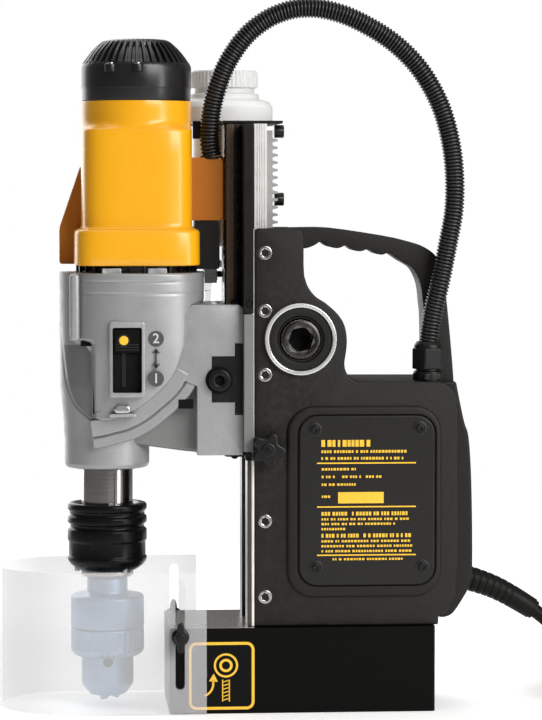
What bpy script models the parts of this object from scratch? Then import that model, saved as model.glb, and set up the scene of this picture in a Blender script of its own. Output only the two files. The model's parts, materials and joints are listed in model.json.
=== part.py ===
"""Magnetic drill press, modelled piece by piece at its real size.

Numbers in this file are millimetres and degrees; the mesh helpers turn them into metres.
The origin is the centre of the magnet's bottom face. +Z is up, -X is the drill side, +X is the
handle side, -Y is the near side (nameplate) and +Y the far side (control panel and coolant bottle).
"""

from math import atan2, ceil, cos, degrees, pi, radians, sin, sqrt

import bmesh
import bpy
from mathutils import Matrix, Vector

MM = 0.001
GAP = 0.3  # left between pieces that touch

# Magnet base
MAGNET = (168, 84, 54)  # length, width, height
MAGNET_CORNER = 2
COIL_TOP = 41
COIL_OUTER = (69.5, 29.5)  # half length and half width
COIL_WINDOW = (44.5, 9.5)
POLE_GAP = 0.5  # round the coil

# Frame casting
FRAME_X = -30  # front face
FRAME_Y = 38  # half width
FRAME_BOTTOM = MAGNET[2] + GAP
FRAME_TOP = 305
BODY_TOP = 208.5
HANDLE_Y = 15
BULGE_Y = 27
HUB = (-1.2, 235.6)  # x and z of the feed pinion's axis
SCREW_ROWS = (73.2, 121.0, 213.3, 253.5, 289.8)
SCREW_X = -23.6
SCREW_HEAD = (4.4, 34.4, 39.2)  # radius, underside and face, out from the middle
SCREW_STEM = (2.5, 27.1)  # radius and where it ends
LOCK = (-22.2, 166.7)
LOCK_FACES = (41.5, 49.5)
LOCK_LOBES = 5
PANEL_OUTLINE = ((-2.4, 83.6), (80, 187.5), 11.6)  # x, z and corner radius
PANEL_FACES = (39.5, 42)
RAIL_X = (-34.7, -32.5)
GIB_X = (-32.2, -30.3)
RAIL_INNER_Y = 17.3

# Switches on the control panel
ROCKER = (30.2, 51, 144.2, 169.8)  # x from and to, z from and to
BUTTON_Z = 115
START_X, STOP_X = 27, 55
BUTTON_R = 7.9

# Slide, rack and pinion
SLIDE_BOTTOM, SLIDE_TOP = 160, 370.7
MODULE = 1.5
PINION_TEETH = 18
PITCH = pi * MODULE
PINION_R = MODULE * PINION_TEETH / 2
RACK_PITCH_X = HUB[0] - PINION_R
RACK_TIP_X = RACK_PITCH_X + MODULE
RACK_ROOT_X = RACK_PITCH_X - 1.25 * MODULE
RACK_Y = 8
CARRIER_X = (-47.8, -35.1)

# Slide's T section: half widths of its neck and of its flange
SLIDE_NECK, SLIDE_HALF = 16.7, 26.3

# Drill head
MOTOR_X = -103
SPINDLE_X = -122
MOTOR_R = 35
SKIRT_R = 39.7
BARREL_R = 42.5
GEARBOX_TOP = 277
GEARBOX_FLOOR = 236
COLLAR_BOTTOM = 153.2
BORE_R = 20.5
HEAD_Y = 33  # half width of the block that clamps the carrier bar

# Two-stage reduction: armature pinion -> cluster gear -> spindle gear
ARMATURE_R, CLUSTER_BIG_R = 3.6, 15.2
CLUSTER_SMALL_R, SPINDLE_GEAR_R = 8.0, 21.0
STAGE_1 = ARMATURE_R + CLUSTER_BIG_R
STAGE_2 = CLUSTER_SMALL_R + SPINDLE_GEAR_R

FAN_BLADES = 9
VENT_SLOTS = 16

# Chuck jaws
JAW_START = (4.2, 5.0)  # radius and height of a jaw's tip
JAW_LEAN = 20
JAW_R, JAW_LENGTH = 3.0, 20
JAW_BORE_R, JAW_BORE_LENGTH = 3.5, 36

# Clamp and gear selector
CLAMP = (-52, 209.8)  # x and z of its screw
SELECTOR_X = -112.2

# Chip guard
GUARD_Y = 47
GUARD_WALL = 2
GUARD_REAR_X, GUARD_NOSE_X = -60.8, -144
GUARD_BOTTOM = 0.9
GUARD_TOP = 90.2
THUMB = (-77.5, 49.7)

# Coolant bottle
BOTTLE = (-43.2, 60.5)  # x and y of its axis
BRACKET_Z = SLIDE_TOP + GAP
VALVE = (-54.5, 26)

# Conduit
GLAND = (81, -26)  # x and y of its axis
CONDUIT_R = 6.3

# Cord
CORD_R = 4.5
BOOT_START, BOOT_END = (100.0, 81.5), (153.5, 57.8)
COIL_CENTRE = (238, 10)
COIL_R = 49.5  # to the middle of its turns, which lie three beside each other
COIL_ROWS = 3
PLUG_HEIGHT = 25
PLUG_BLADE_APART = 12.7


def material(name, colour, roughness, metallic=0.0):
    """A Principled material, made once for each name."""
    if name in bpy.data.materials:
        return bpy.data.materials[name]
    made = bpy.data.materials.new(name)
    made.use_nodes = True
    shader = made.node_tree.nodes["Principled BSDF"]
    shader.inputs["Base Color"].default_value = (*colour, 1)
    shader.inputs["Roughness"].default_value = roughness
    shader.inputs["Metallic"].default_value = metallic
    return made


def black_paint():
    return material("black_paint", (0.03, 0.03, 0.032), 0.5)


def textured_frame():
    return material("textured_frame", (0.045, 0.042, 0.04), 0.65)


def yellow_plastic():
    return material("yellow_plastic", (0.95, 0.5, 0.02), 0.35)


def cast_aluminium():
    return material("cast_aluminium", (0.6, 0.6, 0.61), 0.4, 0.9)


def light_aluminium():
    return material("light_aluminium", (0.85, 0.85, 0.84), 0.35, 0.9)


def steel():
    return material("steel", (0.6, 0.59, 0.57), 0.25, 1)


def black_plastic():
    return material("black_plastic", (0.02, 0.02, 0.02), 0.45)


def copper():
    return material("copper", (0.75, 0.35, 0.15), 0.4, 1)


def rubber():
    return material("rubber", (0.03, 0.03, 0.03), 0.7)


def milky_plastic():
    return material("milky_plastic", (0.85, 0.88, 0.88), 0.3)


def green_board():
    return material("green_board", (0.02, 0.2, 0.07), 0.5)


def red_plastic():
    return material("red_plastic", (0.6, 0.02, 0.02), 0.4)


def green_plastic():
    return material("green_plastic", (0.02, 0.4, 0.06), 0.4)


# ---------------------------------------------------------------- helpers


def to_object(name, bm, look, smooth=35):
    """Turns a bmesh given in millimetres into an object in metres."""
    bmesh.ops.recalc_face_normals(bm, faces=bm.faces)
    bmesh.ops.scale(bm, vec=(MM, MM, MM), verts=bm.verts)
    mesh = bpy.data.meshes.new(name)
    bm.to_mesh(mesh)
    bm.free()
    obj = bpy.data.objects.new(name, mesh)
    bpy.context.collection.objects.link(obj)
    mesh.materials.append(look)
    mesh.shade_smooth()
    mesh.set_sharp_from_angle(angle=radians(smooth))
    return obj


def place(axis, a, b, h):
    """The point at (a, b) across the axis and h along it."""
    if axis == "Z":
        return (a, b, h)
    if axis == "Y":
        return (a, h, b)
    return (h, a, b)


def prism(name, outline, low, high, axis, look, chamfer=0):
    """An outline extruded along an axis, with its two end edges chamfered if asked.

    Its points are (x, z) for axis Y, (x, y) for Z and (y, z) for X.
    """
    bm = bmesh.new()
    ends = (low + chamfer, high - chamfer)
    rings = [[bm.verts.new(place(axis, a, b, h)) for a, b in outline] for h in ends]
    caps = [bm.faces.new(ring) for ring in rings]
    for i in range(len(outline)):
        j = (i + 1) % len(outline)
        bm.faces.new((rings[0][i], rings[0][j], rings[1][j], rings[1][i]))
    bmesh.ops.recalc_face_normals(bm, faces=bm.faces)
    if chamfer:
        for cap in caps:
            bmesh.ops.inset_region(bm, faces=[cap], thickness=chamfer, depth=chamfer)
    return to_object(name, bm, look)


def box(name, x, y, z, look):
    """A box between two values along each axis."""
    outline = [(x[0], z[0]), (x[1], z[0]), (x[1], z[1]), (x[0], z[1])]
    return prism(name, outline, y[0], y[1], "Y", look)


def centred_box(name, half, grow, z, look):
    """A box about the Z axis, given by its half length and half width, which grow makes larger."""
    half_x, half_y = half[0] + grow, half[1] + grow
    return box(name, (-half_x, half_x), (-half_y, half_y), z, look)


def lathe(name, profile, centre, look, axis="Z", segments=32):
    """A closed profile of (radius, height) turned about an axis through centre."""
    bm = bmesh.new()
    rings = []
    for radius, height in profile:
        if radius == 0:
            rings.append([bm.verts.new(place(axis, centre[0], centre[1], height))])
            continue
        ring = []
        for k in range(segments):
            turn = 2 * pi * k / segments
            a = centre[0] + radius * cos(turn)
            b = centre[1] + radius * sin(turn)
            ring.append(bm.verts.new(place(axis, a, b, height)))
        rings.append(ring)
    for i in range(len(rings)):
        low, high = rings[i], rings[(i + 1) % len(rings)]
        if len(low) == len(high) == 1:
            continue
        for k in range(segments):
            m = (k + 1) % segments
            loop = [low[k % len(low)], low[m % len(low)], high[m % len(high)], high[k % len(high)]]
            bm.faces.new(list(dict.fromkeys(loop)))
    return to_object(name, bm, look)


def disc(name, radius, low, high, centre, look, axis="Z", segments=32):
    profile = [(0, low), (radius, low), (radius, high), (0, high)]
    return lathe(name, profile, centre, look, axis, segments)


def ring(name, inner, outer, low, high, centre, look, axis="Z", segments=32):
    profile = [(inner, low), (outer, low), (outer, high), (inner, high)]
    return lathe(name, profile, centre, look, axis, segments)


def helper(obj):
    """Marks an object as a cutter or an operand, which isn't a piece of the machine."""
    obj.hide_render = True
    obj.display_type = "WIRE"
    return obj


def combine(target, others, operation, solver="EXACT"):
    for other in others:
        modifier = target.modifiers.new(operation.lower(), "BOOLEAN")
        modifier.operation = operation
        modifier.solver = solver
        modifier.object = helper(other)
    return target


def cut(target, *cutters, solver="EXACT"):
    return combine(target, cutters, "DIFFERENCE", solver)


def fuse(target, *others):
    return combine(target, others, "UNION")


def rounded(obj, width, segments=2, angle=40):
    modifier = obj.modifiers.new("round", "BEVEL")
    modifier.width = width * MM
    modifier.segments = segments
    modifier.limit_method = "ANGLE"
    modifier.angle_limit = radians(angle)
    return obj


def arc(centre, radius, start, end, steps):
    """Points along an arc, angles in degrees."""
    turns = [radians(start + (end - start) * k / steps) for k in range(steps + 1)]
    return [(centre[0] + radius * cos(t), centre[1] + radius * sin(t)) for t in turns]


def rounded_rect(a, b, radius, steps=4):
    """A rectangle between two values each way, with round corners."""
    (a0, a1), (b0, b1) = a, b
    points = arc((a1 - radius, b1 - radius), radius, 0, 90, steps)
    points += arc((a0 + radius, b1 - radius), radius, 90, 180, steps)
    points += arc((a0 + radius, b0 + radius), radius, 180, 270, steps)
    points += arc((a1 - radius, b0 + radius), radius, 270, 360, steps)
    return points


def smooth_line(points, steps):
    """A Catmull-Rom curve through the points."""
    points = [Vector(p) for p in points]
    ends = [2 * points[0] - points[1], *points, 2 * points[-1] - points[-2]]
    line = []
    for i in range(len(points) - 1):
        p0, p1, p2, p3 = ends[i : i + 4]
        for k in range(steps):
            t = k / steps
            line.append(
                0.5 * (2 * p1 + (p2 - p0) * t + (2 * p0 - 5 * p1 + 4 * p2 - p3) * t**2
                       + (3 * p1 - p0 - 3 * p2 + p3) * t**3)
            )
    return [*line, points[-1]]


def evenly(line, spacing):
    """The line again with points a fixed distance apart."""
    along = [0.0]
    for a, b in zip(line, line[1:]):
        along.append(along[-1] + (b - a).length)
    count = ceil(along[-1] / spacing)
    points, at = [], 0
    for k in range(count + 1):
        want = along[-1] * k / count
        while at < len(line) - 2 and along[at + 1] < want:
            at += 1
        share = (want - along[at]) / (along[at + 1] - along[at])
        points.append(line[at].lerp(line[at + 1], min(share, 1)))
    return points


def tube(name, points, radius, look, resolution=2):
    """A cord: a POLY curve with a round bevel and filled caps."""
    data = bpy.data.curves.new(name, "CURVE")
    data.dimensions = "3D"
    data.bevel_depth = radius * MM
    data.bevel_resolution = resolution
    data.use_fill_caps = True
    spline = data.splines.new("POLY")
    spline.points.add(len(points) - 1)
    for point, at in zip(spline.points, points):
        point.co = (*(Vector(at) * MM), 1)
    data.materials.append(look)
    obj = bpy.data.objects.new(name, data)
    bpy.context.collection.objects.link(obj)
    return obj


def tilted(obj, pivot, angle, axis):
    """Turns a shape about a point, given in millimetres, inside its own mesh."""
    at = Vector(pivot) * MM
    turn = Matrix.Rotation(radians(angle), 4, axis)
    obj.data.transform(Matrix.Translation(at) @ turn @ Matrix.Translation(-at))
    return obj


def pivot_at(obj, pivot):
    """Moves the object's origin to a point on its joint's axis."""
    at = Vector(pivot) * MM
    obj.data.transform(Matrix.Translation(-at))
    obj.location = at
    return obj


def empty_at(name, pivot):
    obj = bpy.data.objects.new(name, None)
    obj.location = Vector(pivot) * MM
    bpy.context.collection.objects.link(obj)
    return obj


def attach(parent, *children):
    bpy.context.view_layer.update()
    for child in children:
        child.parent = parent
        child.matrix_parent_inverse = parent.matrix_world.inverted()


def fine_gear_outline(teeth, root, tip, centre):
    """Small pointed teeth, for the gears inside the gearbox."""
    points = []
    for k in range(2 * teeth):
        turn, radius = pi * k / teeth, (root, tip)[k % 2]
        points.append((centre[0] + radius * cos(turn), centre[1] + radius * sin(turn)))
    return points


def gear_outline(teeth, root, tip, centre, phase=0.0, width=0.5):
    """A toothed outline. width is a tooth's share of the pitch half-way up."""
    points = []
    for k in range(teeth):
        middle = 2 * pi * k / teeth + phase
        for radius, share in ((root, width * 0.72), (tip, width * 0.32)):
            points.append((radius, middle - 2 * pi * share / teeth))
        for radius, share in ((tip, width * 0.32), (root, width * 0.72)):
            points.append((radius, middle + 2 * pi * share / teeth))
    return [(centre[0] + r * cos(t), centre[1] + r * sin(t)) for r, t in points]


def hexagon(centre, across_flats, start=0):
    return arc(centre, across_flats / sqrt(3), start, start + 300, 5)


# ---------------------------------------------------------------- magnet base


def magnet_base():
    half_x, half_y = MAGNET[0] / 2, MAGNET[1] / 2
    outline = rounded_rect((-half_x, half_x), (-half_y, half_y), MAGNET_CORNER, 2)
    body = prism("magnet_body", outline, 0, MAGNET[2], "Z", black_paint())
    groove = centred_box("groove_outer", COIL_OUTER, POLE_GAP, (-1, COIL_TOP + 1), steel())
    cut(groove, centred_box("groove_island", COIL_WINDOW, -POLE_GAP, (-2, COIL_TOP + 2), steel()))
    holes = [
        disc(f"thumb_hole_{side}", 2.9, *sorted((side * 30, side * 43)), THUMB, steel(), "Y", 12)
        for side in (-1, 1)
    ]
    cut(body, groove, *holes)
    coil = centred_box("magnet_coil", COIL_OUTER, 0, (0.6, COIL_TOP), copper())
    cut(coil, centred_box("coil_window", COIL_WINDOW, 0, (0, COIL_TOP + 1), copper()))


# ---------------------------------------------------------------- frame


def column_outline():
    """Column and body as seen from the side, anticlockwise from the front foot."""
    rear = [(86.5, FRAME_BOTTOM), (86.5, 60), (92, 62.5), (97, 72), (99, 95), (98.5, 150)]
    shoulder = arc((84, 194), 14.5, 0, 90, 4)
    hub = [(34, BODY_TOP), (29.5, 212.5), (26.7, 219), (28.1, 235.3), (26.6, 244.1), (22.2, 251.3)]
    neck = [(14.8, 258), (8.2, 262.4), (3.1, 269), (0.8, 275), (0.8, FRAME_TOP)]
    return [(FRAME_X, FRAME_BOTTOM), *rear, *shoulder, *hub, *neck, (FRAME_X, FRAME_TOP)]


def handle_outline():
    """The loop of the handle, outer line first and then its finger side back."""
    outer = [(-12, 304.9), (20.5, 304.9), (52.6, 300.2), (69, 296.5), (79.6, 292.8), (87.8, 286.3)]
    leg = [(93.7, 262), (96.2, 238.2), (98.8, 207.8), (98.8, 150), (80, 150), (80, 230)]
    inner = [(79.7, 248.7), (78.9, 256.9), (77.3, 269.2), (73.2, 278.2), (64.8, 283.1), (56.7, 289.2)]
    grip = [(53, 287.9), (43.9, 291.6), (38, 290.1), (29.9, 293.5), (23.3, 292.1), (13.7, 296.4)]
    return [*outer, *leg, *inner, *grip, (5.5, 292.3), (-12, 292.3)]


def bulge_outline():
    """The rounded rear of the body, on which the handle's leg stands."""
    outer = [(98.8, 207.8), (101.2, 195.4), (104.2, 181.7), (107.1, 171.3), (108.9, 141.7), (109.6, 91.3)]
    return [*outer, (104.2, 70.3), (97.1, 59.9), (91, 57.1), (80, 60), (80, 207.8)]


def main_frame():
    look = textured_frame()
    frame = prism("main_frame", column_outline(), -FRAME_Y, FRAME_Y, "Y", look, 1.5)
    handle = prism("frame_handle", handle_outline(), -HANDLE_Y, HANDLE_Y, "Y", look, 3.5)
    bulge = prism("frame_bulge", bulge_outline(), -BULGE_Y, BULGE_Y, "Y", look, 7)
    pad_outline = rounded_rect((-9.3, 87), (72, 194.6), 18)
    pads = [
        prism(f"frame_pad_{side}", pad_outline, *sorted((side * 34, side * 41)), "Y", look, 1.5)
        for side in (-1, 1)
    ]
    combine(frame, [handle, bulge, *pads], "UNION", "MANIFOLD")
    cutters = [
        box("frame_bay", (-6, 84), (-32, 32), (40, 200), look),
        box("flange_channel", (FRAME_X - 2, -20.9), (-26.7, 26.7), (40, 320), look),
        box("rack_channel", (-22, RACK_TIP_X + 1), (-RACK_Y - 0.8, RACK_Y + 0.8), (40, 320), look),
        box("stop_channel", (-22, -5.5), (-5.2, 5.2), (252, 320), look),
        disc("hub_bore", 16, -50, 50, HUB, look, "Y", 32),
        disc("gland_hole", 6.6, 190, 215, GLAND, look, "Z", 16),
        disc("lock_hole", 3, -45, -24, LOCK, look, "Y", 12),
        boot_hole(),
    ]
    for side in (-1, 1):
        name = "near" if side < 0 else "far"
        recess = rounded_rect((-2.9, 84.1), (79.5, 188), 12)
        cutters.append(prism(f"{name}_recess", recess, *sorted((side * 39.2, side * 45)), "Y", look))
        window = rounded_rect((5, 76.5), (87.5, 180.5), 6)
        cutters.append(prism(f"{name}_window", window, *sorted((side * 30, side * 45)), "Y", look))
    for number, z in enumerate(SCREW_ROWS):
        cutters.append(disc(f"screw_seat_{number}", 5, -45, -34, (SCREW_X, z), look, "Y", 16))
        cutters.append(disc(f"screw_hole_{number}", 2.9, -35, -24, (SCREW_X, z), look, "Y", 12))
    cut(frame, *cutters, solver="MANIFOLD")


def boot_hole():
    """The seat of the cord boot, along the boot's first stretch."""
    drop = degrees(atan2(BOOT_START[1] - BOOT_END[1], BOOT_END[0] - BOOT_START[0])) * 0.5
    hole = disc("boot_hole", 8.5, 80, 125, (0, BOOT_START[1]), rubber(), "X", 16)
    return tilted(hole, (BOOT_START[0], 0, BOOT_START[1]), drop, "Y")


def guide_rails():
    for name, side in (("near", -1), ("far", 1)):
        y = sorted((side * RAIL_INNER_Y, side * FRAME_Y))
        rail = box(f"guide_rail_{name}", RAIL_X, y, (FRAME_BOTTOM, FRAME_TOP), black_paint())
        gib = box(f"gib_strip_{name}", GIB_X, y, (FRAME_BOTTOM, FRAME_TOP), steel())
        for piece in (rail, gib):
            rounded(piece, 0.4, 1)


def frame_screws():
    """Socket-head screws down the near side of the frame."""
    radius, seat, face = SCREW_HEAD
    stem, end = SCREW_STEM
    profile = [(0, -face), (radius - 0.5, -face), (radius, 0.6 - face), (radius, -seat), (stem, -seat)]
    profile += [(stem, -end), (0, -end)]
    for number, z in enumerate(SCREW_ROWS, start=1):
        at = (SCREW_X, z)
        screw = lathe(f"frame_screw_{number}", profile, at, steel(), "Y", 16)
        cut(screw, prism(f"frame_hex_{number}", hexagon(at, 4), -40, -36.5, "Y", steel()))


def lock_knob():
    """Star knob with a threaded stem that clamps the slide."""
    points = []
    for k in range(6 * LOCK_LOBES):
        turn = 2 * pi * k / (6 * LOCK_LOBES)
        radius = 9.6 + 1.9 * cos(LOCK_LOBES * turn)
        points.append((LOCK[0] + radius * cos(turn), LOCK[1] + radius * sin(turn)))
    inner, outer = LOCK_FACES
    knob = prism("slide_lock_knob", points, -outer, -inner, "Y", black_plastic(), 1)
    fuse(
        knob,
        disc("lock_stem", 2.6, -inner - 0.5, -27.1, LOCK, steel(), "Y", 12),
        disc("lock_neck", 6, -inner - 0.5, -38.5, LOCK, steel(), "Y", 20),
    )
    pivot_at(knob, (LOCK[0], -FRAME_Y, LOCK[1]))


def covers_and_controls():
    """Nameplate on the near side; control panel, board and switches on the far side."""
    outline = rounded_rect(*PANEL_OUTLINE)
    inner, outer = PANEL_FACES
    prism("nameplate_cover", outline, -outer, -inner, "Y", black_plastic(), 0.6)
    panel = prism("control_panel", outline, inner, outer, "Y", black_plastic())
    x0, x1, z0, z1 = ROCKER
    opening = ((x0 - 0.6, x1 + 0.6), (inner - 3.5, outer + 3), (z0 - 1.6, z1 + 2.6))
    openings = [
        box("rocker_opening", *opening, steel()),
        *(
            disc(f"{name}_opening", BUTTON_R + 0.5, inner - 3.5, outer + 3, (x, BUTTON_Z), steel(), "Y", 24)
            for name, x in (("start", START_X), ("stop", STOP_X))
        ),
    ]
    cut(panel, *openings)
    box("control_board", (4, 78), (20, 22), (90, 178), green_board())
    side_view = [(36.5, z0), (42.6, z0), (43.6, (z0 + z1) / 2), (46.4, z1), (36.5, z1)]
    rocker = prism("magnet_switch", side_view, x0, x1, "X", red_plastic())
    pivot_at(rocker, ((x0 + x1) / 2, 38.5, (z0 + z1) / 2))
    push_button("start_button", START_X, green_plastic())
    push_button("stop_button", STOP_X, red_plastic())


def push_button(name, x, look):
    face = PANEL_FACES[1] + 3.4
    profile = [(0, 34), (BUTTON_R, 34), (BUTTON_R, face - 0.8), (BUTTON_R - 0.6, face), (0, face)]
    button = lathe(name, profile, (x, BUTTON_Z), look, "Y", 24)
    pivot_at(button, (x, PANEL_FACES[1], BUTTON_Z))


def pinion_and_bearings():
    """Feed pinion with a hex-socket hub at each end, in two flanged bearings."""
    for name, side in (("near", -1), ("far", 1)):
        profile = [(12.7, side * 16), (15.6, side * 16), (15.6, side * 38.4), (22.5, side * 38.4)]
        profile += [(22.5, side * 41), (21.8, side * 41.6), (20.4, side * 41.6), (20.4, side * 39.6)]
        profile += [(12.7, side * 39.6)]
        lathe(f"pinion_bearing_{name}", profile, HUB, steel(), "Y", 24)
    shaft = lathe(
        "feed_pinion",
        [(0, -41.9), (11.6, -41.9), (12.3, -41.2), (12.3, -13), (8, -13), (8, 13), (12.3, 13), (12.3, 41.2),
         (11.6, 41.9), (0, 41.9)],
        HUB, steel(), "Y", 24,
    )
    outline = gear_outline(PINION_TEETH, PINION_R - 1.25 * MODULE, PINION_R + MODULE - 0.1, HUB, pi, 0.4)
    fuse(shaft, prism("pinion_gear", outline, -RACK_Y, RACK_Y, "Y", steel()))
    sockets = [
        prism(f"hub_socket_{side}", hexagon(HUB, 14.6, 12), *sorted((side * 28, side * 45)), "Y", steel())
        for side in (-1, 1)
    ]
    pivot_at(cut(shaft, *sockets), (HUB[0], 0, HUB[1]))


# ---------------------------------------------------------------- slide and carriage


def slide_pieces():
    outline = [(-34.8, -SLIDE_NECK), (-29.6, -SLIDE_NECK), (-29.6, -SLIDE_HALF), (-21.5, -SLIDE_HALF)]
    outline += [(x, -y) for x, y in reversed(outline)]
    slide = prism("slide_bar", outline, SLIDE_BOTTOM, SLIDE_TOP, "Z", light_aluminium())
    rounded(slide, 0.4, 1)
    carrier = box("carrier_bar", CARRIER_X, (-20, 20), (SLIDE_BOTTOM, SLIDE_TOP), black_paint())
    rounded(carrier, 1.5, 2)
    return slide, carrier, rack()


def rack():
    """Rack whose tooth gaps line up with the pinion's teeth."""
    bottom, top = SLIDE_BOTTOM + 3, SLIDE_TOP - 4
    tip, root = PITCH * 0.32 * 0.4, PITCH * 0.72 * 0.4
    points = [(-21.2, bottom), (RACK_ROOT_X, bottom)]
    first = ceil((bottom + root + 0.5 - HUB[1]) / PITCH - 0.5)
    last = int((top - root - 0.5 - HUB[1]) / PITCH - 0.5)
    for k in range(first, last + 1):
        z = HUB[1] + (k + 0.5) * PITCH
        points += [(RACK_ROOT_X, z - root), (RACK_TIP_X, z - tip), (RACK_TIP_X, z + tip)]
        points += [(RACK_ROOT_X, z + root)]
    points += [(RACK_ROOT_X, top), (-21.2, top)]
    return prism("rack", points, -RACK_Y, RACK_Y, "Y", steel())


def gearbox():
    look = cast_aluminium()
    motor, spindle = (MOTOR_X, 0), (SPINDLE_X, 0)
    housing = lathe(
        "gearbox_housing",
        [(0, 200), (28, 200), (36, 214), (BARREL_R, 232), (BARREL_R, GEARBOX_TOP), (0, GEARBOX_TOP)],
        motor, look, segments=36,
    )
    nose = lathe(
        "gearbox_nose",
        [(0, COLLAR_BOTTOM), (25.4, COLLAR_BOTTOM), (26.8, 155), (26.8, 172), (29.6, 205),
         (30, GEARBOX_TOP - 0.5),
         (0, GEARBOX_TOP - 0.5)],
        spindle, look, segments=32,
    )
    web = [(-110, 168), (-60, 163), (-60, 252), (-110, 262)]
    clamp = [(-71.4, 162.3), (-37, 162.3), (-37, 256), (-39, 257.1), (-69, 257.1), (-71.4, 254)]
    pad = [(-121.2, 201.4), (-98.9, 201.4), (-98.9, 247.1), (-121.2, 247.1)]
    fuse(
        housing,
        nose,
        rounded(prism("gearbox_web", web, -26, 26, "Y", look), 4, 2),
        rounded(prism("gearbox_clamp", clamp, -HEAD_Y, HEAD_Y, "Y", look), 1.5, 1),
        prism("selector_pad", pad, -43.6, -20, "Y", look),
    )
    tee = [(-56.6, 195.8), (-42, 195.8), (-42, 187.9), (-36, 187.9), (-36, 232.7), (-42, 232.7),
    (-42, 224.6),
           (-56.6, 224.6)]
    cut(
        housing,
        disc("gear_space", 37.5, GEARBOX_FLOOR, 290, motor, look, segments=32),
        disc("spindle_gear_space", 25.5, GEARBOX_FLOOR + 0.4, 293, spindle, look, segments=32),
        disc("spindle_bore", BORE_R, 140, 240, spindle, look, segments=32),
        box("carrier_slot", (-48.2, -30), (-20.4, 20.4), (150, 270), look),
        box("selector_recess", (-120.6, -100.1), (-48, -38), (202.6, 242.7), look),
        box("selector_slot", (SELECTOR_X - 1.4, SELECTOR_X + 1.4), (-40, -10), (208, 240), look),
        prism("tee_recess", tee, -40, -29.6, "Y", look),
        disc("clamp_hole", 3.3, -45, -12, CLAMP, look, "Y", 12),
        disc("cluster_hole", 3.5, 226, 240, cluster_centre(), look, segments=16),
        solver="MANIFOLD",
    )
    return housing


def cluster_centre():
    """Where the cluster gear meets both the armature's pinion and the spindle gear."""
    apart = MOTOR_X - SPINDLE_X
    along = (STAGE_2**2 - STAGE_1**2 - apart**2) / (2 * apart)
    return (MOTOR_X + along, sqrt(STAGE_1**2 - along**2))


def clamp_and_selector():
    tee = [(-56.3, 196.1), (-41.7, 196.1), (-41.7, 188.2), (-37.4, 188.2), (-37.4, 232.4), (-41.7, 232.4),
           (-41.7, 224.3), (-56.3, 224.3)]
    plate = prism("clamp_plate", tee, -33.3, -29.9, "Y", black_paint())
    cut(plate, disc("plate_hole", 3.3, -45, -20, CLAMP, black_paint(), "Y", 12))
    profile = [(0, -38), (6.3, -38), (6.9, -37.4), (6.9, -33.6), (2.9, -33.6), (2.9, -14), (0, -14)]
    screw = lathe("clamp_screw", profile, CLAMP, black_paint(), "Y", 24)
    cut(screw, prism("clamp_hex", hexagon(CLAMP, 6), -40, -35, "Y", steel()))
    slider = box("gear_selector", (-120.1, -100.6), (-41.6, -38.3), (227.4, 242.2), black_plastic())
    rounded(slider, 0.5, 1)
    fuse(slider, box("selector_pin", (SELECTOR_X - 1.1, SELECTOR_X + 1.1), (-40, -22), (234, 238), steel()))
    pivot_at(slider, (SELECTOR_X, -38, 235.4))
    return plate, screw, slider


def motor():
    at = (MOTOR_X, 0)
    housing = lathe(
        "motor_housing",
        [(37.4, 281.6), (SKIRT_R, 281.6), (SKIRT_R, 303), (MOTOR_R, 308), (MOTOR_R, 385), (32.9, 385),
         (32.9, 309),
         (37.4, 303)],
        at, yellow_plastic(), segments=32,
    )
    fin = [(-136, 343.7), (-138.4, 343.7), (-151.5, 305.7), (-151.6, 282.2), (-136, 282.2)]
    fin_solid = prism("motor_fin", fin, 2, 24, "Y", yellow_plastic())
    bores = [
        disc("fin_lower_bore", SKIRT_R - 1.2, 280, 304, at, yellow_plastic(), segments=32),
        disc("fin_upper_bore", MOTOR_R - 1, 300, 350, at, yellow_plastic(), segments=32),
    ]
    fuse(housing, cut(fin_solid, *bores))
    cap = lathe(
        "motor_cap",
        [(0, 424), (18.8, 424), (20.5, 423.2), (34.6, 408), (35, 407), (35, 393), (34.6, 392.5),
         (34.6, 385.4),
         (32.4, 385.4), (32.4, 406), (19, 421), (0, 421)],
        at, black_plastic(), segments=32,
    )
    cut(cap, vent_cutter())
    baffle = ring("fan_baffle", 31.5, 38.2, GEARBOX_TOP + GAP, 281.3, at, black_plastic(), segments=32)
    block = box("baffle_block", (-66, -50.6), (-14, 14), (279, 309.5), black_plastic())
    cut(block, disc("block_bore", SKIRT_R + 0.4, 281.3, 320, at, black_plastic(), segments=32))
    fuse(baffle, block)
    terminal = box("terminal_box", (-72, -48.1), (-14, 14), (309.8, 349.5), yellow_plastic())
    cut(
        terminal,
        disc("terminal_bore", MOTOR_R + 0.4, 300, 360, at, yellow_plastic(), segments=32),
        disc("conduit_hole", 5.5, 330, 355, (-55.6, -7.6), yellow_plastic(), segments=16),
    )
    stator = ring("motor_stator", 20.6, 32.4, 318, 372, at, steel(), segments=32)
    return housing, cap, baffle, terminal, stator


def vent_cutter():
    """Slots through the cone of the motor cap, all in one mesh."""
    bm = bmesh.new()
    for k in range(VENT_SLOTS):
        turn = 2 * pi * (k + 0.5) / VENT_SLOTS
        along, across = Vector((cos(turn), sin(turn), 0)), Vector((-sin(turn), cos(turn), 0))
        corners = []
        for radius, half in ((21.2, 1.4), (31.8, 2.2)):
            for side in (-1, 1):
                corners.append(along * radius + across * half * side)
        order = [corners[0], corners[1], corners[3], corners[2]]
        rings = [[bm.verts.new((p.x + MOTOR_X, p.y, z)) for p in order] for z in (400, 430)]
        bm.faces.new(rings[0])
        bm.faces.new(rings[1])
        for i in range(4):
            j = (i + 1) % 4
            bm.faces.new((rings[0][i], rings[0][j], rings[1][j], rings[1][i]))
    return to_object("vent_slots", bm, black_plastic())


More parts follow.
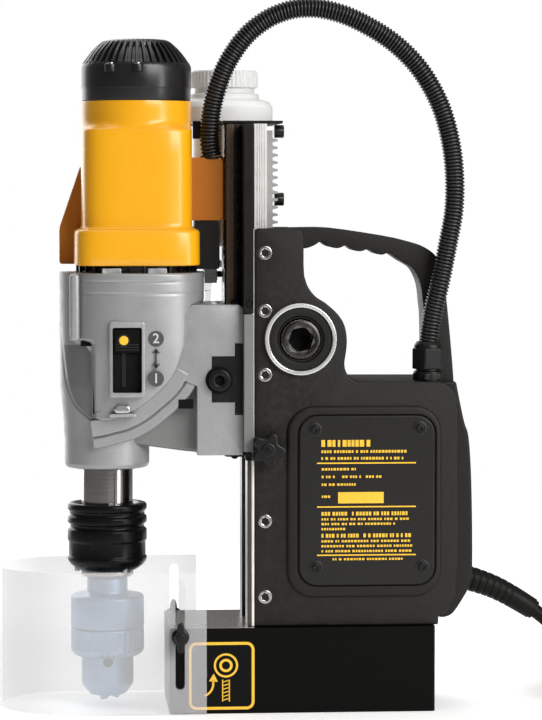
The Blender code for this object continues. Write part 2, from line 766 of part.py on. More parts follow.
def armature():
    """Shaft with laminations, commutator, cooling fan and drive pinion."""
    at = (MOTOR_X, 0)
    profile = [(0, 410), (4, 410), (4, 396), (11, 396), (11, 380), (5, 380), (5, 371), (19.8, 371)]
    profile += [(19.8, 319)]
    profile += [(5, 319), (5, 309), (14, 309), (14, 299), (4, 299), (4, 259), (3.5, 259), (3.5, 251)]
    profile += [(0, 251)]
    rotor = lathe("armature", profile, at, steel(), segments=16)
    blades = []
    for k in range(FAN_BLADES):
        blade = box(f"fan_blade_{k}", (MOTOR_X + 12, MOTOR_X + 30), (-0.9, 0.9), (299.5, 308.5),
        black_plastic())
        blades.append(tilted(blade, (MOTOR_X, 0, 0), 360 / FAN_BLADES * k, "Z"))
    fuse(rotor, *blades)
    return pivot_at(rotor, (MOTOR_X, 0, 300))


def gear_train():
    centre = cluster_centre()
    cluster = disc("cluster_gear", 3.1, 228, 262, centre, steel(), segments=16)
    big = fine_gear_outline(38, CLUSTER_BIG_R - 1.4, CLUSTER_BIG_R - 0.1, centre)
    small = fine_gear_outline(16, CLUSTER_SMALL_R - 1.6, CLUSTER_SMALL_R - 0.1, centre)
    fuse(
        cluster,
        prism("cluster_big", big, 251.2, 258, "Z", steel()),
        prism("cluster_small", small, 240.5, 252, "Z", steel()),
    )
    return pivot_at(cluster, (*centre, 245))


def spindle():
    at = (SPINDLE_X, 0)
    profile = [(9.7, 80.3), (12.4, 80.3), (12.4, 102), (16.3, 102), (16.3, 155.5), (12.2, 155.5)]
    profile += [(12.2, 250.4)]
    profile += [(0, 250.4), (0, 148), (9.7, 148)]
    shaft = lathe("spindle", profile, at, steel(), segments=32)
    teeth = fine_gear_outline(42, SPINDLE_GEAR_R - 1.7, SPINDLE_GEAR_R - 0.1, at)
    fuse(shaft, prism("spindle_teeth", teeth, 240.5, 250, "Z", steel()))
    flutes = []
    for k in range(3):
        flute = box(f"spindle_slot_{k}", (SPINDLE_X + 14.6, SPINDLE_X + 20), (-2, 2), (128, 150), steel())
        flutes.append(tilted(flute, (SPINDLE_X, 0, 0), 120 * k + 40, "Z"))
    cut(shaft, *flutes)
    return pivot_at(shaft, (SPINDLE_X, 0, 200))


def spindle_bearings():
    heights = (("bearing_lower", 156.5, 169), ("bearing_upper", 220, 231))
    return [
        ring(name, 12.6, BORE_R - GAP, low, high, (SPINDLE_X, 0), steel(), segments=24)
        for name, low, high in heights
    ]


def release_sleeve():
    at = (SPINDLE_X, 0)
    outer = [(25.3, 130), (25.3, 126), (24.2, 125.2), (24.2, 122.8), (25.3, 122), (25.3, 116.5)]
    outer += [(24.2, 115.5)]
    outer += [(24.2, 113.8), (25.3, 113), (25.3, 106), (24.4, 105), (24.4, 95.5), (25.3, 94.5)]
    outer += [(24.2, 91.5)]
    outer += [(17.5, 86.2), (15.6, 84.6), (15.6, 82.6)]
    inner = [(12.9, 82.6), (12.9, 101.4), (16.8, 101.4), (16.8, 126), (19.5, 130)]
    return pivot_at(lathe("release_sleeve", outer + inner, at, black_plastic(), segments=20),
    (SPINDLE_X, 0, 106))


# ---------------------------------------------------------------- drill chuck


def drill_chuck():
    at = (SPINDLE_X, 0)
    profile = [(0, 140), (9.4, 140), (9.4, 79.8), (13, 79.8), (13, 72.4), (14.6, 71), (22.6, 71)]
    profile += [(23.4, 70.2)]
    profile += [(23.4, 50.2), (16.6, 50.2), (16.6, 14), (12, 7.2), (8.6, 6.6), (8.6, 12), (0, 12)]
    body = lathe("drill_chuck_body", profile, at, steel(), segments=20)
    jaws, bores = [], []
    for k in range(3):
        jaws.append(jaw(f"chuck_jaw_{k + 1}", JAW_R, JAW_START[1], JAW_LENGTH, k))
        bores.append(jaw(f"jaw_bore_{k + 1}", JAW_BORE_R, JAW_START[1] - 2, JAW_BORE_LENGTH, k))
    cut(body, *bores)
    sleeve = lathe(
        "chuck_sleeve",
        [(17, 32), (21.5, 32), (23.4, 34), (23.4, 49.2), (22.6, 49.9), (17, 49.9)],
        at, steel(), segments=24,
    )
    pivot_at(body, (SPINDLE_X, 0, 60))
    pivot_at(sleeve, (SPINDLE_X, 0, 41))
    return body, sleeve, jaws


def jaw(name, radius, low, length, number):
    """A round jaw that leans outwards as it goes up, or the bore that it runs in."""
    profile = [(0, low), (radius, low), (radius, low + length), (0, low + length)]
    rod = lathe(name, profile, (SPINDLE_X + JAW_START[0], 0), steel(), segments=16)
    pivot = (SPINDLE_X + JAW_START[0], 0, JAW_START[1])
    tilted(rod, pivot, JAW_LEAN, "Y")
    tilted(rod, (SPINDLE_X, 0, 0), 120 * number, "Z")
    turn = radians(120 * number)
    home = (SPINDLE_X + JAW_START[0] * cos(turn), JAW_START[0] * sin(turn), JAW_START[1])
    return pivot_at(rod, home)


# ---------------------------------------------------------------- chip guard


def chip_guard():
    """U-shaped clear guard round the drill, open towards the magnet, on two slotted cheeks."""
    nose, inside = (GUARD_NOSE_X, 0), GUARD_Y - GUARD_WALL
    outer = [(GUARD_REAR_X, -GUARD_Y), *arc(nose, GUARD_Y, 270, 90, 16), (GUARD_REAR_X, GUARD_Y)]
    inner = [(GUARD_REAR_X, inside), *arc(nose, inside, 90, 270, 16), (GUARD_REAR_X, -inside)]
    guard = prism("chip_guard", outer + inner, GUARD_BOTTOM, GUARD_TOP, "Z", milky_plastic())
    slot = rounded_rect((THUMB[0] - 3, THUMB[0] + 3), (16.2, 84.3), 2.9)
    slots = [
        prism(f"guard_slot_{side}", slot, *sorted((side * 40, side * 50)), "Y", milky_plastic())
        for side in (-1, 1)
    ]
    cut(guard, *slots)
    pivot_at(guard, (THUMB[0], 0, THUMB[1]))
    for name, side in (("near", -1), ("far", 1)):
        thumb_screw(name, side)


def thumb_screw(name, side):
    profile = [(0, 33), (2.5, 33), (2.5, 47.4), (5.6, 47.4), (5.6, 51), (3.2, 51), (3.2, 58), (0, 58)]
    look = black_plastic()
    screw = lathe(f"thumb_screw_{name}", [(r, side * h) for r, h in profile], THUMB, look, "Y", 16)
    wing = [(-2.6, -9), (2.6, -9), (2.2, 9), (-2.2, 9)]
    wing_points = [(THUMB[0] + a, THUMB[1] + b) for a, b in wing]
    wings = prism(f"thumb_wing_{name}", wing_points, *sorted((side * 50, side * 57)), "Y", look, 0.8)
    fuse(screw, wings)
    pivot_at(screw, (THUMB[0], side * 42, THUMB[1]))


# ---------------------------------------------------------------- coolant


def coolant():
    x, y = BOTTLE
    low = BRACKET_Z
    outline = [(-48.5, -15), (-10.5, -15), (-10.5, 88), (-66.9, 88), (-66.9, 1), (-48.5, 1)]
    bracket = prism("bottle_bracket", outline, low, low + 1.8, "Z", black_paint())
    fuse(bracket, box("bracket_clip", (-66.9, -60.9), (1, 2.8), (361.5, low + 1), black_paint()))
    cut(bracket, disc("bottle_hole", 21.3, low - 5, low + 5, BOTTLE, black_paint(), segments=32))
    shoulder = low + 1.8 + GAP
    outer = [(0, 292), (18.5, 292), (20.5, 294), (20.5, shoulder), (31.5, shoulder), (31.5, 383), (29, 386)]
    outer += [(19.5, 388.6), (21, 389.6), (21, 390.8), (19.5, 391.4), (19.5, 400)]
    inner = [(17.6, 400), (17.6, 387), (27.5, 384.5), (29.6, 382), (29.6, shoulder + 2)]
    inner += [(18.6, shoulder + 2)]
    inner += [(18.6, 296), (0, 294.4)]
    bottle = lathe("coolant_bottle", outer + inner, BOTTLE, milky_plastic(), segments=24)
    cap = lathe(
        "bottle_cap",
        [(0, 406.6), (20.8, 406.6), (21.8, 405.6), (21.8, 395.5), (20, 395.5), (20, 402.5), (0, 402.5)],
        BOTTLE, milky_plastic(), segments=32,
    )
    pivot_at(cap, (x, y, 400))
    return bracket, bottle, cap, *coolant_valve()


def coolant_valve():
    """Tap on top of the gearbox's rear block, with its lever and the hose down to the spindle."""
    at = VALVE
    valve = lathe(
        "coolant_valve",
        [(0, 257.5), (3, 257.5), (3, 266), (5.4, 268), (5.4, 281), (3.6, 283), (3.6, 288), (0, 288)],
        at, milky_plastic(), segments=20,
    )
    lever = box("valve_lever", (-62, -46.5), (31.8, 34), (272.5, 276.5), black_plastic())
    rounded(lever, 0.6, 1)
    fuse(lever, disc("lever_stem", 2, 31.6, 34, (at[0], 274.5), black_plastic(), "Y", 12))
    pivot_at(lever, (at[0], 32, 274.5))
    route = [(at[0], at[1], 288.9), (-54.4, 27.2, 292.5), (-52.5, 33, 291), (-50, 40, 285), (-46, 52, 280)]
    route += [(-43.6, 59, 283), (-43.2, 60.5, 291.5)]
    hose = tube("coolant_hose", evenly(smooth_line(route, 8), 5), 1.6, black_plastic())
    return valve, lever, hose


# ---------------------------------------------------------------- conduit and cord


def conduit():
    """Corrugated conduit from the terminal box over to the frame's gland."""
    profile = [(0, 196), (6.1, 196), (6.1, 208.8), (9.9, 208.8), (9.9, 213.4), (8.6, 213.9), (8.6, 215.4)]
    profile += [(9.9, 216), (9.9, 229.4), (7, 232.2), (0, 232.2)]
    lathe("conduit_gland", profile, GLAND, black_plastic(), segments=12)
    route = [(-55.3, -8, 350.4), (-56.6, -8, 360.7), (-55.3, -8, 379.6), (-50.2, -8, 398.5)]
    route += [(-42.6, -8, 414.2)]
    route += [(-31.2, -8.5, 428.7), (-15.4, -10, 439.4), (3, -12, 443.9), (22.6, -14, 441.4)]
    route += [(41.7, -16, 433.3)]
    route += [(60.8, -18, 420.8), (76.8, -20, 403.8), (88.3, -22, 383), (94.8, -23.5, 360.8)]
    route += [(97.4, -25, 338.6)]
    route += [(96.9, -26, 316.4), (93.1, -26, 294.2), (88.7, -26, 271.9), (83.6, -26, 249.6)]
    route += [(81.2, -26, 233.4)]
    points = evenly(smooth_line(route, 6), 9)
    tube("conduit", points, CONDUIT_R, black_plastic())


def mains_cord():
    """Strain-relief boot, lead, coil and plug, laid on the surface behind the machine."""
    boot_route = [(BOOT_START[0], 0, BOOT_START[1]), (108, 0, 79.6), (118, 0, 76.6), (129, 0, 72.2)]
    boot_route += [(141, 0, 65.6)]
    tube("cord_boot", [*boot_route, (BOOT_END[0], 0, BOOT_END[1])], 7, rubber(), 3)
    lead_route = [(154.4, 0, 57.1), (163, -2.5, 49.8), (170, -9, 38.5), (174, -19, 26), (179.5, -30, 14)]
    lead_route += [(188, -41.5, 6.3), (199, -50, 4.9), (214.4, -54, 4.9)]
    tube("cord_lead", evenly(smooth_line(lead_route, 6), 9), CORD_R, rubber())
    coil_low, coil_high = 0.3, 0.3 + 2 * CORD_R * COIL_ROWS
    inner, outer = COIL_R - COIL_ROWS * CORD_R, COIL_R + COIL_ROWS * CORD_R
    ring("cord_coil", inner, outer, coil_low, coil_high, COIL_CENTRE, rubber(), segments=40)
    plug(coil_high + GAP)


def plug(low):
    """Moulded three-pin plug lying on the coil."""
    x, y = COIL_CENTRE[0], COIL_CENTRE[1] + COIL_R
    outline = [(x + 26, y - 6), (x + 26, y + 6), (x + 4, y + 13), (x - 20, y + 13), (x - 20, y - 13)]
    outline += [(x + 4, y - 13)]
    body = prism("cord_plug", outline, low, low + PLUG_HEIGHT, "Z", rubber(), 2)
    middle = low + PLUG_HEIGHT / 2
    blades = []
    for side in (-1, 1):
        across = y + side * PLUG_BLADE_APART / 2
        span = (across - 0.8, across + 0.8)
        blades.append(box(f"plug_blade_{side}", (x - 38, x - 15), span, (middle - 1, middle + 5.4),
        steel()))
    pin = disc("plug_ground_pin", 2.4, x - 40, x - 15, (y, middle - 7), steel(), "X", 12)
    fuse(body, *blades, pin)


def main():
    for obj in list(bpy.data.objects):
        bpy.data.objects.remove(obj)
    magnet_base()
    main_frame()
    guide_rails()
    frame_screws()
    lock_knob()
    covers_and_controls()
    pinion_and_bearings()
    chip_guard()
    conduit()
    mains_cord()
    carriage = empty_at("carriage", (-28, 0, 265))
    attach(carriage, *slide_pieces(), gearbox(), *clamp_and_selector(), *motor(), armature(), gear_train())
    attach(carriage, *coolant())
    shaft = spindle()
    attach(carriage, shaft, *spindle_bearings())
    sleeve = release_sleeve()
    body, key_sleeve, jaws = drill_chuck()
    attach(shaft, sleeve, body)
    attach(body, key_sleeve, *jaws)


main()
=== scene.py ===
"""Looks of the magnetic drill press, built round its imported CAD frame.

Lengths in this file are millimetres unless a name says otherwise; the mesh helpers turn them into metres.
The frame is the CAD's: origin under the magnet, +Z up, -X the drill side, -Y the near side.
A piece rides on the carriage unless its call names another body.
"""

import json
from math import cos, pi, radians, sin, sqrt

import bmesh
import bpy
import numpy as np
from mathutils import Matrix, Vector


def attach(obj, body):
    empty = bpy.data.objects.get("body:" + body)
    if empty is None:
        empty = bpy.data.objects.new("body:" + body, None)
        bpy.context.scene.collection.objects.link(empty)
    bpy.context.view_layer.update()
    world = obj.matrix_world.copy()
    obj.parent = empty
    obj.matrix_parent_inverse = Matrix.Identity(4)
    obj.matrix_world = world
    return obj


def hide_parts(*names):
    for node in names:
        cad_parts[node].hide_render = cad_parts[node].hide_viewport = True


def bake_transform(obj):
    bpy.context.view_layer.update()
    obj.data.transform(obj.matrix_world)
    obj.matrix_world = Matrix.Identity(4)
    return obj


MM = 0.001
SMOOTH_ANGLE = 35  # degrees between faces up to which an edge is shaded smooth

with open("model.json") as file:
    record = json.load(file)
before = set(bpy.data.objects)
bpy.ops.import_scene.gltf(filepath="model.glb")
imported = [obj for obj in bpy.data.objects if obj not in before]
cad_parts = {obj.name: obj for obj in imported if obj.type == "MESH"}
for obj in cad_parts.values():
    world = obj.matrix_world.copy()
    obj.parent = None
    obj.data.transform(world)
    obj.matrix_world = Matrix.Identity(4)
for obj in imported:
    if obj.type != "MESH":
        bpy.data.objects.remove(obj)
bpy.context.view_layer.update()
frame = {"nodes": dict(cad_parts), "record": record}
NODES = frame["nodes"]

MOTOR_X, SPINDLE_X = -103, -122
MOTOR, SPINDLE = (MOTOR_X, 0), (SPINDLE_X, 0)
HUB = (-1.2, 235.6)
SCREW_X, SCREW_ROWS = -23.6, (73.2, 121.0, 213.3, 253.5, 289.8)
CLAMP_SCREW = (-52, 209.8)
LOCK = (-22.2, 166.7)
BOTTLE = (-43.2, 60.5)
VALVE = (-54.5, 26)
THUMB = (-77.5, 49.7)
COIL_CENTRE = (238, 10)
CORD_R = 4.5
SIDES = (("near", -1), ("far", 1))


# ---------------------------------------------------------------- materials


class Nodes:
    """The node tree of a world or material, and a short way to add to it."""

    def __init__(self, owner):
        owner.use_nodes = True
        self.owner, self.tree = owner, owner.node_tree

    def feed(self, node, inputs):
        """Sets the node's inputs, or links them where the value is another node's output."""
        for name, value in inputs.items():
            if isinstance(value, bpy.types.NodeSocket):
                self.tree.links.new(value, node.inputs[name])
            else:
                node.inputs[name].default_value = value

    def add(self, kind, inputs=None, **settings):
        node = self.tree.nodes.new(f"ShaderNode{kind}")
        for name, value in settings.items():
            setattr(node, name, value)
        self.feed(node, inputs or {})
        return node


class Material(Nodes):
    """A Principled material with procedural detail."""

    def __init__(self, name):
        super().__init__(bpy.data.materials.new(name))
        self.place = self.add("TexCoord").outputs["Object"]

    def noise(self, scale, detail=2.0, stretch=None, rough=0.5):
        where = self.place
        if stretch:
            where = self.add("Mapping", {"Vector": where, "Scale": stretch}).outputs["Vector"]
        inputs = {"Vector": where, "Scale": scale, "Detail": detail, "Roughness": rough}
        return self.add("TexNoise", inputs).outputs["Fac"]

    def ranged(self, value, low, high, start=0.3, end=0.7):
        inputs = {"Value": value, "From Min": start, "From Max": end, "To Min": low, "To Max": high}
        return self.add("MapRange", inputs).outputs["Result"]

    def mix(self, factor, a, b):
        a, b = ((*colour, 1) if isinstance(colour, tuple) else colour for colour in (a, b))
        return self.add("Mix", {"Factor": factor, "A": a, "B": b}, data_type="RGBA").outputs["Result"]

    def bump(self, height, strength, distance=0.0002):
        inputs = {"Height": height, "Strength": strength, "Distance": distance}
        return self.add("Bump", inputs).outputs["Normal"]

    def shade(self, colour, rough, normal=None, **more):
        """Fills in the shader, with _ for a space in the names of its other inputs."""
        shader = self.tree.nodes["Principled BSDF"]
        self.feed(shader, {"Base Color": colour, "Roughness": rough})
        if normal:
            self.feed(shader, {"Normal": normal})
        self.feed(shader, {name.replace("_", " "): value for name, value in more.items()})
        return self.owner


def surface(name, base, rough, metal=0.0, grain=900, bump=0.2, vary=0.12, rough_vary=0.08, worn=None,
            wear=0.0, stretch=None, distance=0.0002, specular=0.5, **more):
    """A painted, moulded or machined surface: cloudy colour, uneven gloss, fine grain and worn edges."""
    made = Material(name)
    tints = [tuple(min(1, c * share) for c in base) for share in (1 - vary, 1 + vary)]
    cloud = made.mix(made.ranged(made.noise(55, 5), 0, 1, 0.25, 0.75), *tints)
    fleck = made.mix(made.ranged(made.noise(grain * 0.7, 2), 0, 1, 0.35, 0.65), *tints)
    colour = made.mix(0.7, cloud, fleck)
    if worn:
        edges = made.ranged(made.add("NewGeometry").outputs["Pointiness"], 0, 1, 0.52, 0.6)
        patches = made.ranged(made.noise(220, 3), 0, wear, 0.42, 0.62)
        both = made.add("Math", {0: edges, 1: patches}, operation="MULTIPLY")
        colour = made.mix(both.outputs[0], colour, worn)
    gloss = made.ranged(made.noise(130, 6), rough - rough_vary, rough + rough_vary, 0.2, 0.8)
    relief = made.bump(made.noise(grain, 3, stretch), bump, distance)
    return made.shade(colour, gloss, relief, Metallic=metal, Specular_IOR_Level=specular, **more)


def machined(name, base, rough, stretch, line=0.35, metal=1.0):
    """Bare metal with the fine lines that its tool left, which lie across the stretched axis."""
    made = Material(name)
    lines = made.noise(1, 4, stretch, 0.6)
    colour = made.mix(made.ranged(made.noise(60, 4), 0, 1), tuple(c * 0.8 for c in base), base)
    gloss = made.ranged(lines, rough * 0.75, rough * 1.35)
    return made.shade(colour, gloss, made.bump(lines, line, 0.00004), Metallic=metal)


def clear_plastic(name, base, rough, transmission, tint):
    """Milky moulded plastic that shows what is behind it, softened."""
    made = Material(name)
    colour = made.mix(made.ranged(made.noise(26, 4), 0, 1), base, tint)
    gloss = made.ranged(made.noise(120, 4), rough - 0.06, rough + 0.06)
    relief = made.bump(made.noise(700, 3), 0.08)
    return made.shade(colour, gloss, relief, Transmission_Weight=transmission, IOR=1.3)


FRAME_LOOK = surface("frame_powder_coat", (0.0082, 0.007, 0.0058), 0.54, grain=1250, bump=0.6, vary=0.14,
                     rough_vary=0.03, worn=(0.04, 0.037, 0.034), wear=0.4, distance=0.0003, specular=0.27)
MAGNET_LOOK = surface("magnet_enamel", (0.0026, 0.0024, 0.002), 0.4, grain=1300, bump=0.06, vary=0.07,
                      rough_vary=0.012, specular=0.07)
LABEL_LOOK = surface("label_black", (0.003, 0.0028, 0.0026), 0.5, grain=1800, bump=0.05, vary=0.1,
                     specular=0.1)
YELLOW_LOOK = surface("amber_housing", (0.84, 0.385, 0.004), 0.36, grain=1300, bump=0.14, vary=0.03,
                      rough_vary=0.04, specular=0.3, Coat_Weight=0.5, Coat_Roughness=0.2)
# The housing's yellow darkened: painted shade for the side duct and terminal cover, which sit in shadow.
SHADE_LOOK = surface("amber_cover", (0.43, 0.14, 0.009), 0.42, grain=1300, bump=0.14, vary=0.04,
                     rough_vary=0.04, specular=0.3)
CAP_LOOK = surface("cap_nylon", (0.0085, 0.0075, 0.0078), 0.36, grain=1500, bump=0.18, vary=0.15,
                   specular=0.3, Coat_Weight=0.4, Coat_Roughness=0.2)
BLACK_LOOK = surface("black_nylon", (0.0048, 0.0044, 0.004), 0.4, grain=1300, bump=0.22, vary=0.15,
                     specular=0.28)
PLATE_LOOK = surface("plate_black", (0.0075, 0.0068, 0.006), 0.42, grain=1700, bump=0.18, vary=0.15,
                     rough_vary=0.03, specular=0.32)
SLEEVE_LOOK = surface("sleeve_black_oxide", (0.0036, 0.0035, 0.0035), 0.25, grain=600, bump=0.05, vary=0.2,
                      worn=(0.035, 0.033, 0.031), wear=0.3, specular=0.14)
RUBBER_LOOK = surface("cord_rubber", (0.006, 0.0056, 0.005), 0.46, grain=2200, vary=0.2, specular=0.12)
CONDUIT_LOOK = surface("conduit_nylon", (0.0038, 0.0036, 0.0036), 0.36, bump=0.03, vary=0.2,
                       rough_vary=0.02, specular=0.65)
CAST_LOOK = surface("cast_silver", (0.33, 0.332, 0.335), 0.4, metal=0.35, grain=1500, bump=0.3, vary=0.05,
                    worn=(0.6, 0.6, 0.6), wear=0.5, distance=0.00015)
# The cast silver darkened: painted shade for the keeper strips and the web under the barrel.
CAST_SHADE_LOOK = surface("cast_recess", (0.2, 0.2, 0.198), 0.45, metal=0.35, grain=1500, vary=0.05,
                      distance=0.00015)
SPINDLE_LOOK = machined("ground_steel", (0.42, 0.41, 0.39), 0.13, (6, 6, 1500), 0.08)
STEEL_LOOK = machined("turned_steel", (0.36, 0.35, 0.335), 0.24, (6, 6, 2600))
SCREW_LOOK = machined("screw_zinc", (0.42, 0.41, 0.39), 0.22, (900, 60, 900), 0.2)
CHROME_LOOK = machined("hub_chrome", (0.85, 0.85, 0.84), 0.2, (300, 300, 300), 0.05, metal=0.6)
HUB_LOOK = machined("hub_dark_steel", (0.075, 0.071, 0.067), 0.3, (300, 1500, 300), 0.07)
RAIL_LOOK = machined("drawn_aluminium", (0.93, 0.92, 0.9), 0.28, (1500, 1500, 4), 0.4, metal=0.3)
RACK_LOOK = machined("hobbed_steel", (0.4, 0.39, 0.37), 0.35, (900, 2200, 900), 0.3, metal=0.5)
# The ground way's steel darkened: painted shade for the guide rails.
WAY_SHADE_LOOK = machined("way_side", (0.06, 0.054, 0.048), 0.3, (1800, 1800, 3), 0.2, metal=0.35)
WAY_LOOK = machined("ground_way", (0.9, 0.86, 0.78), 0.25, (1800, 1800, 3), 0.3, metal=0.35)
COPPER_LOOK = surface("potted_coil", (0.3, 0.12, 0.05), 0.5, grain=600, bump=0.4, vary=0.3)
BOARD_LOOK = surface("circuit_board", (0.01, 0.12, 0.045), 0.35, grain=350, bump=0.3, vary=0.4)
RED_LOOK = surface("switch_red", (0.5, 0.012, 0.01), 0.34, grain=1300, bump=0.04, vary=0.03,
                   rough_vary=0.02, Coat_Weight=0.15)
GREEN_LOOK = surface("switch_green", (0.012, 0.3, 0.05), 0.34, grain=1300, bump=0.04, vary=0.03,
                     rough_vary=0.02, Coat_Weight=0.15)
INK_LOOK = surface("yellow_ink", (0.86, 0.5, 0.03), 0.45, grain=1500, bump=0.15, vary=0.1)
GREY_INK_LOOK = surface("dark_grey_ink", (0.06, 0.06, 0.062), 0.5, grain=1500, bump=0.15, vary=0.15)
SILVER_INK_LOOK = surface("silver_ink", (0.62, 0.62, 0.62), 0.4, metal=0.3, grain=1500, bump=0.1, vary=0.1)
CARRIER_LOOK = surface("carrier_black_oxide", (0.0045, 0.004, 0.0036), 0.27, grain=1500, bump=0.06, vary=0.1,
                       rough_vary=0.02, worn=(0.06, 0.04, 0.028), wear=0.4, specular=0.3)
# Brownish grey with vertical streaks: a painted highlight on the black carrier's face.
CARRIER_HIGHLIGHT_LOOK = surface("carrier_browned_face", (0.1, 0.066, 0.044), 0.3, metal=0.5, bump=0.05, vary=0.15,
                     stretch=(1, 1, 0.02))
SOCKET_LOOK = surface("screw_black_oxide", (0.007, 0.0068, 0.0066), 0.3, bump=0.06, vary=0.1, specular=0.22)
# Darker cast silver: painted shade for the inside of the cup cast into the spindle nose.
CUP_SHADE_LOOK = surface("cast_shaded", (0.17, 0.17, 0.172), 0.5, metal=0.3, grain=1500, bump=0.3, vary=0.08)
BOSS_LOOK = machined("milled_boss", (0.6, 0.6, 0.59), 0.3, (400, 400, 400), 0.1)
CHUCK_LOOK = machined("chuck_steel", (0.2, 0.3, 0.44), 0.34, (6, 6, 1800), 0.2, metal=0.6)
# Near-black painted shadow for the floors of sockets, pockets, wells and holes.
HOLE_SHADOW_LOOK = surface("socket_shadow", (0.0015, 0.0015, 0.0015), 0.7, vary=0.3, specular=0.15)
GUARD_LOOK = surface("guard_polycarbonate", (0.83, 0.83, 0.835), 0.3, grain=600, bump=0.03, vary=0.015,
                     rough_vary=0.04, Alpha=0.235, specular=0.4)
BOTTLE_LOOK = clear_plastic("bottle_polyethylene", (0.9, 0.9, 0.89), 0.5, 0.2, (0.86, 0.86, 0.84))
VALVE_LOOK = clear_plastic("valve_clear", (0.95, 0.96, 0.97), 0.12, 0.9, (0.9, 0.93, 0.95))

SLOT_LOOKS = {
    "black_plastic": BLACK_LOOK, "magnet_black": MAGNET_LOOK, "frame_charcoal": FRAME_LOOK,
    "coil_resin": COPPER_LOOK, "bright_steel": STEEL_LOOK, "hub_chrome": CHROME_LOOK,
    "slide_aluminium": RAIL_LOOK, "cast_aluminium": CAST_LOOK, "yellow_housing": YELLOW_LOOK,
    "milky_plastic": BOTTLE_LOOK, "board_green": BOARD_LOOK, "switch_red": RED_LOOK,
    "switch_green": GREEN_LOOK, "cord_rubber": RUBBER_LOOK,
}


# ---------------------------------------------------------------- mesh helpers


def link_object(name, data):
    obj = bpy.data.objects.new(name, data)
    bpy.context.scene.collection.objects.link(obj)
    return obj


def add_skin(bm, rows, joined=False):
    """Adds a surface through rows of points, each a closed section or a single point.

    Its end rows are filled or, when joined, sewn to each other.
    """
    rings = [[bm.verts.new(point) for point in row] for row in rows]
    if joined:
        rings.append(rings[0])
    else:
        bm.faces.new(rings[0])
        bm.faces.new(rings[-1])
    for low, high in zip(rings, rings[1:]):
        for k in range(max(len(low), len(high))):
            m = k + 1
            corners = (low[k % len(low)], low[m % len(low)], high[m % len(high)], high[k % len(high)])
            corners = list(dict.fromkeys(corners))
            if len(corners) > 2:
                bm.faces.new(corners)


def to_object(name, bm, look, body, smooth=SMOOTH_ANGLE, slot=None, replaces=None):
    """Turns a bmesh in millimetres into a piece in metres that rides on a body."""
    bmesh.ops.recalc_face_normals(bm, faces=bm.faces)
    bmesh.ops.scale(bm, vec=(MM, MM, MM), verts=bm.verts)
    mesh = bpy.data.meshes.new(name)
    bm.to_mesh(mesh)
    bm.free()
    obj = link_object(name, mesh)
    mesh.materials.append(look)
    mesh.shade_smooth()
    mesh.set_sharp_from_angle(angle=radians(smooth))
    if body:
        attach(obj, body)
    if replaces:
        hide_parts(replaces)
    return obj


def skin(name, rows, look, body="carriage", joined=False, **finish):
    bm = bmesh.new()
    add_skin(bm, rows, joined)
    return to_object(name, bm, look, body, **finish)


def place(axis, a, b, h):
    """The point at height h along an axis, and at a and b on the two others."""
    return {"X": (h, a, b), "Y": (a, h, b), "Z": (a, b, h)}[axis]


def rounded(obj, width, segments=3, angle=28):
    modifier = obj.modifiers.new("round", "BEVEL")
    modifier.width = width * MM
    modifier.segments = segments
    modifier.limit_method = "ANGLE"
    modifier.angle_limit = radians(angle)
    modifier.harden_normals = False
    return obj


def soften(node, width, look=None, segments=2):
    """Rounds the edges of a CAD node that stays, and gives it its material."""
    obj = NODES[node]
    obj.modifiers.new("weld", "WELD").merge_threshold = 0.00001
    rounded(obj, width, segments, 32)
    obj.modifiers.new("normals", "WEIGHTED_NORMAL").keep_sharp = False
    obj.data.shade_smooth()
    if look:
        paint(obj, look)


def paint(obj, look):
    obj.data.materials.clear()
    obj.data.materials.append(look)


def prism(name, outline, low, high, look, body="carriage", soft=0.0, segments=3, axis="Y", turn=None,
          **finish):
    """An outline extruded along an axis, with soft edges. Its points are (x, z) for Y, (x, y) for Z."""
    rows = [[place(axis, *point, h) for point in outline] for h in (low, high)]
    if turn:
        rows = [[turn @ Vector(point) for point in row] for row in rows]
    obj = skin(name, rows, look, body, **finish)
    return rounded(obj, soft, segments) if soft else obj


def rectangle(x, z):
    return [(x[0], z[0]), (x[1], z[0]), (x[1], z[1]), (x[0], z[1])]


def box(name, x, y, z, look, body="carriage", soft=0.4, **more):
    return prism(name, rectangle(x, z), *y, look, body, soft, **more)


def cutter(name, outline, low, high):
    """A helper shape that cut() takes out of a piece."""
    return prism(name, outline, low, high, HOLE_SHADOW_LOOK, None)


def cut(target, *cutters):
    """Cuts helper shapes out of a piece for good, then throws the helpers away."""
    for helper in cutters:
        modifier = target.modifiers.new("cut", "BOOLEAN")
        modifier.operation = "DIFFERENCE"
        modifier.solver = "EXACT"
        modifier.object = helper
    bpy.context.view_layer.update()
    graph = bpy.context.evaluated_depsgraph_get()
    mesh = bpy.data.meshes.new_from_object(target.evaluated_get(graph), depsgraph=graph)
    target.modifiers.clear()
    target.data = mesh
    mesh.shade_smooth()
    mesh.set_sharp_from_angle(angle=radians(SMOOTH_ANGLE))
    for helper in cutters:
        bpy.data.objects.remove(helper)


def round_row(centre, height, radius, count, axis="Z"):
    """Points round an axis; radius is a length, or gives the length at a share of the turn."""
    points = []
    for k in range(count):
        turn = 2 * pi * k / count
        size = radius(k / count) if callable(radius) else radius
        points.append(place(axis, centre[0] + size * cos(turn), centre[1] + size * sin(turn), height))
    return points


def lathe(name, profile, soft, centre, look, body="carriage", axis="Z", segments=96, side=1, steps=3,
          **finish):
    """A closed profile of (radius, height) with soft corners, turned about an axis; side -1 mirrors it."""
    profile = [(radius, side * height) for radius, height in profile]
    if soft:
        profile = softened(profile, soft, steps)
    rows = [round_row(centre, height, radius, segments if radius else 1, axis) for radius, height in profile]
    return skin(name, rows, look, body, joined=True, **{"smooth": 30, **finish})


def ring(name, radii, heights, soft, centre, look, body="carriage", axis="Z", segments=96, side=1):
    """A turned ring with a rectangular section, or a disc where the inner radius is 0."""
    (inner, outer), (low, high) = radii, heights
    profile = [(inner, low), (outer, low), (outer, high), (inner, high)]
    return lathe(name, profile, soft, centre, look, body, axis, segments, side)


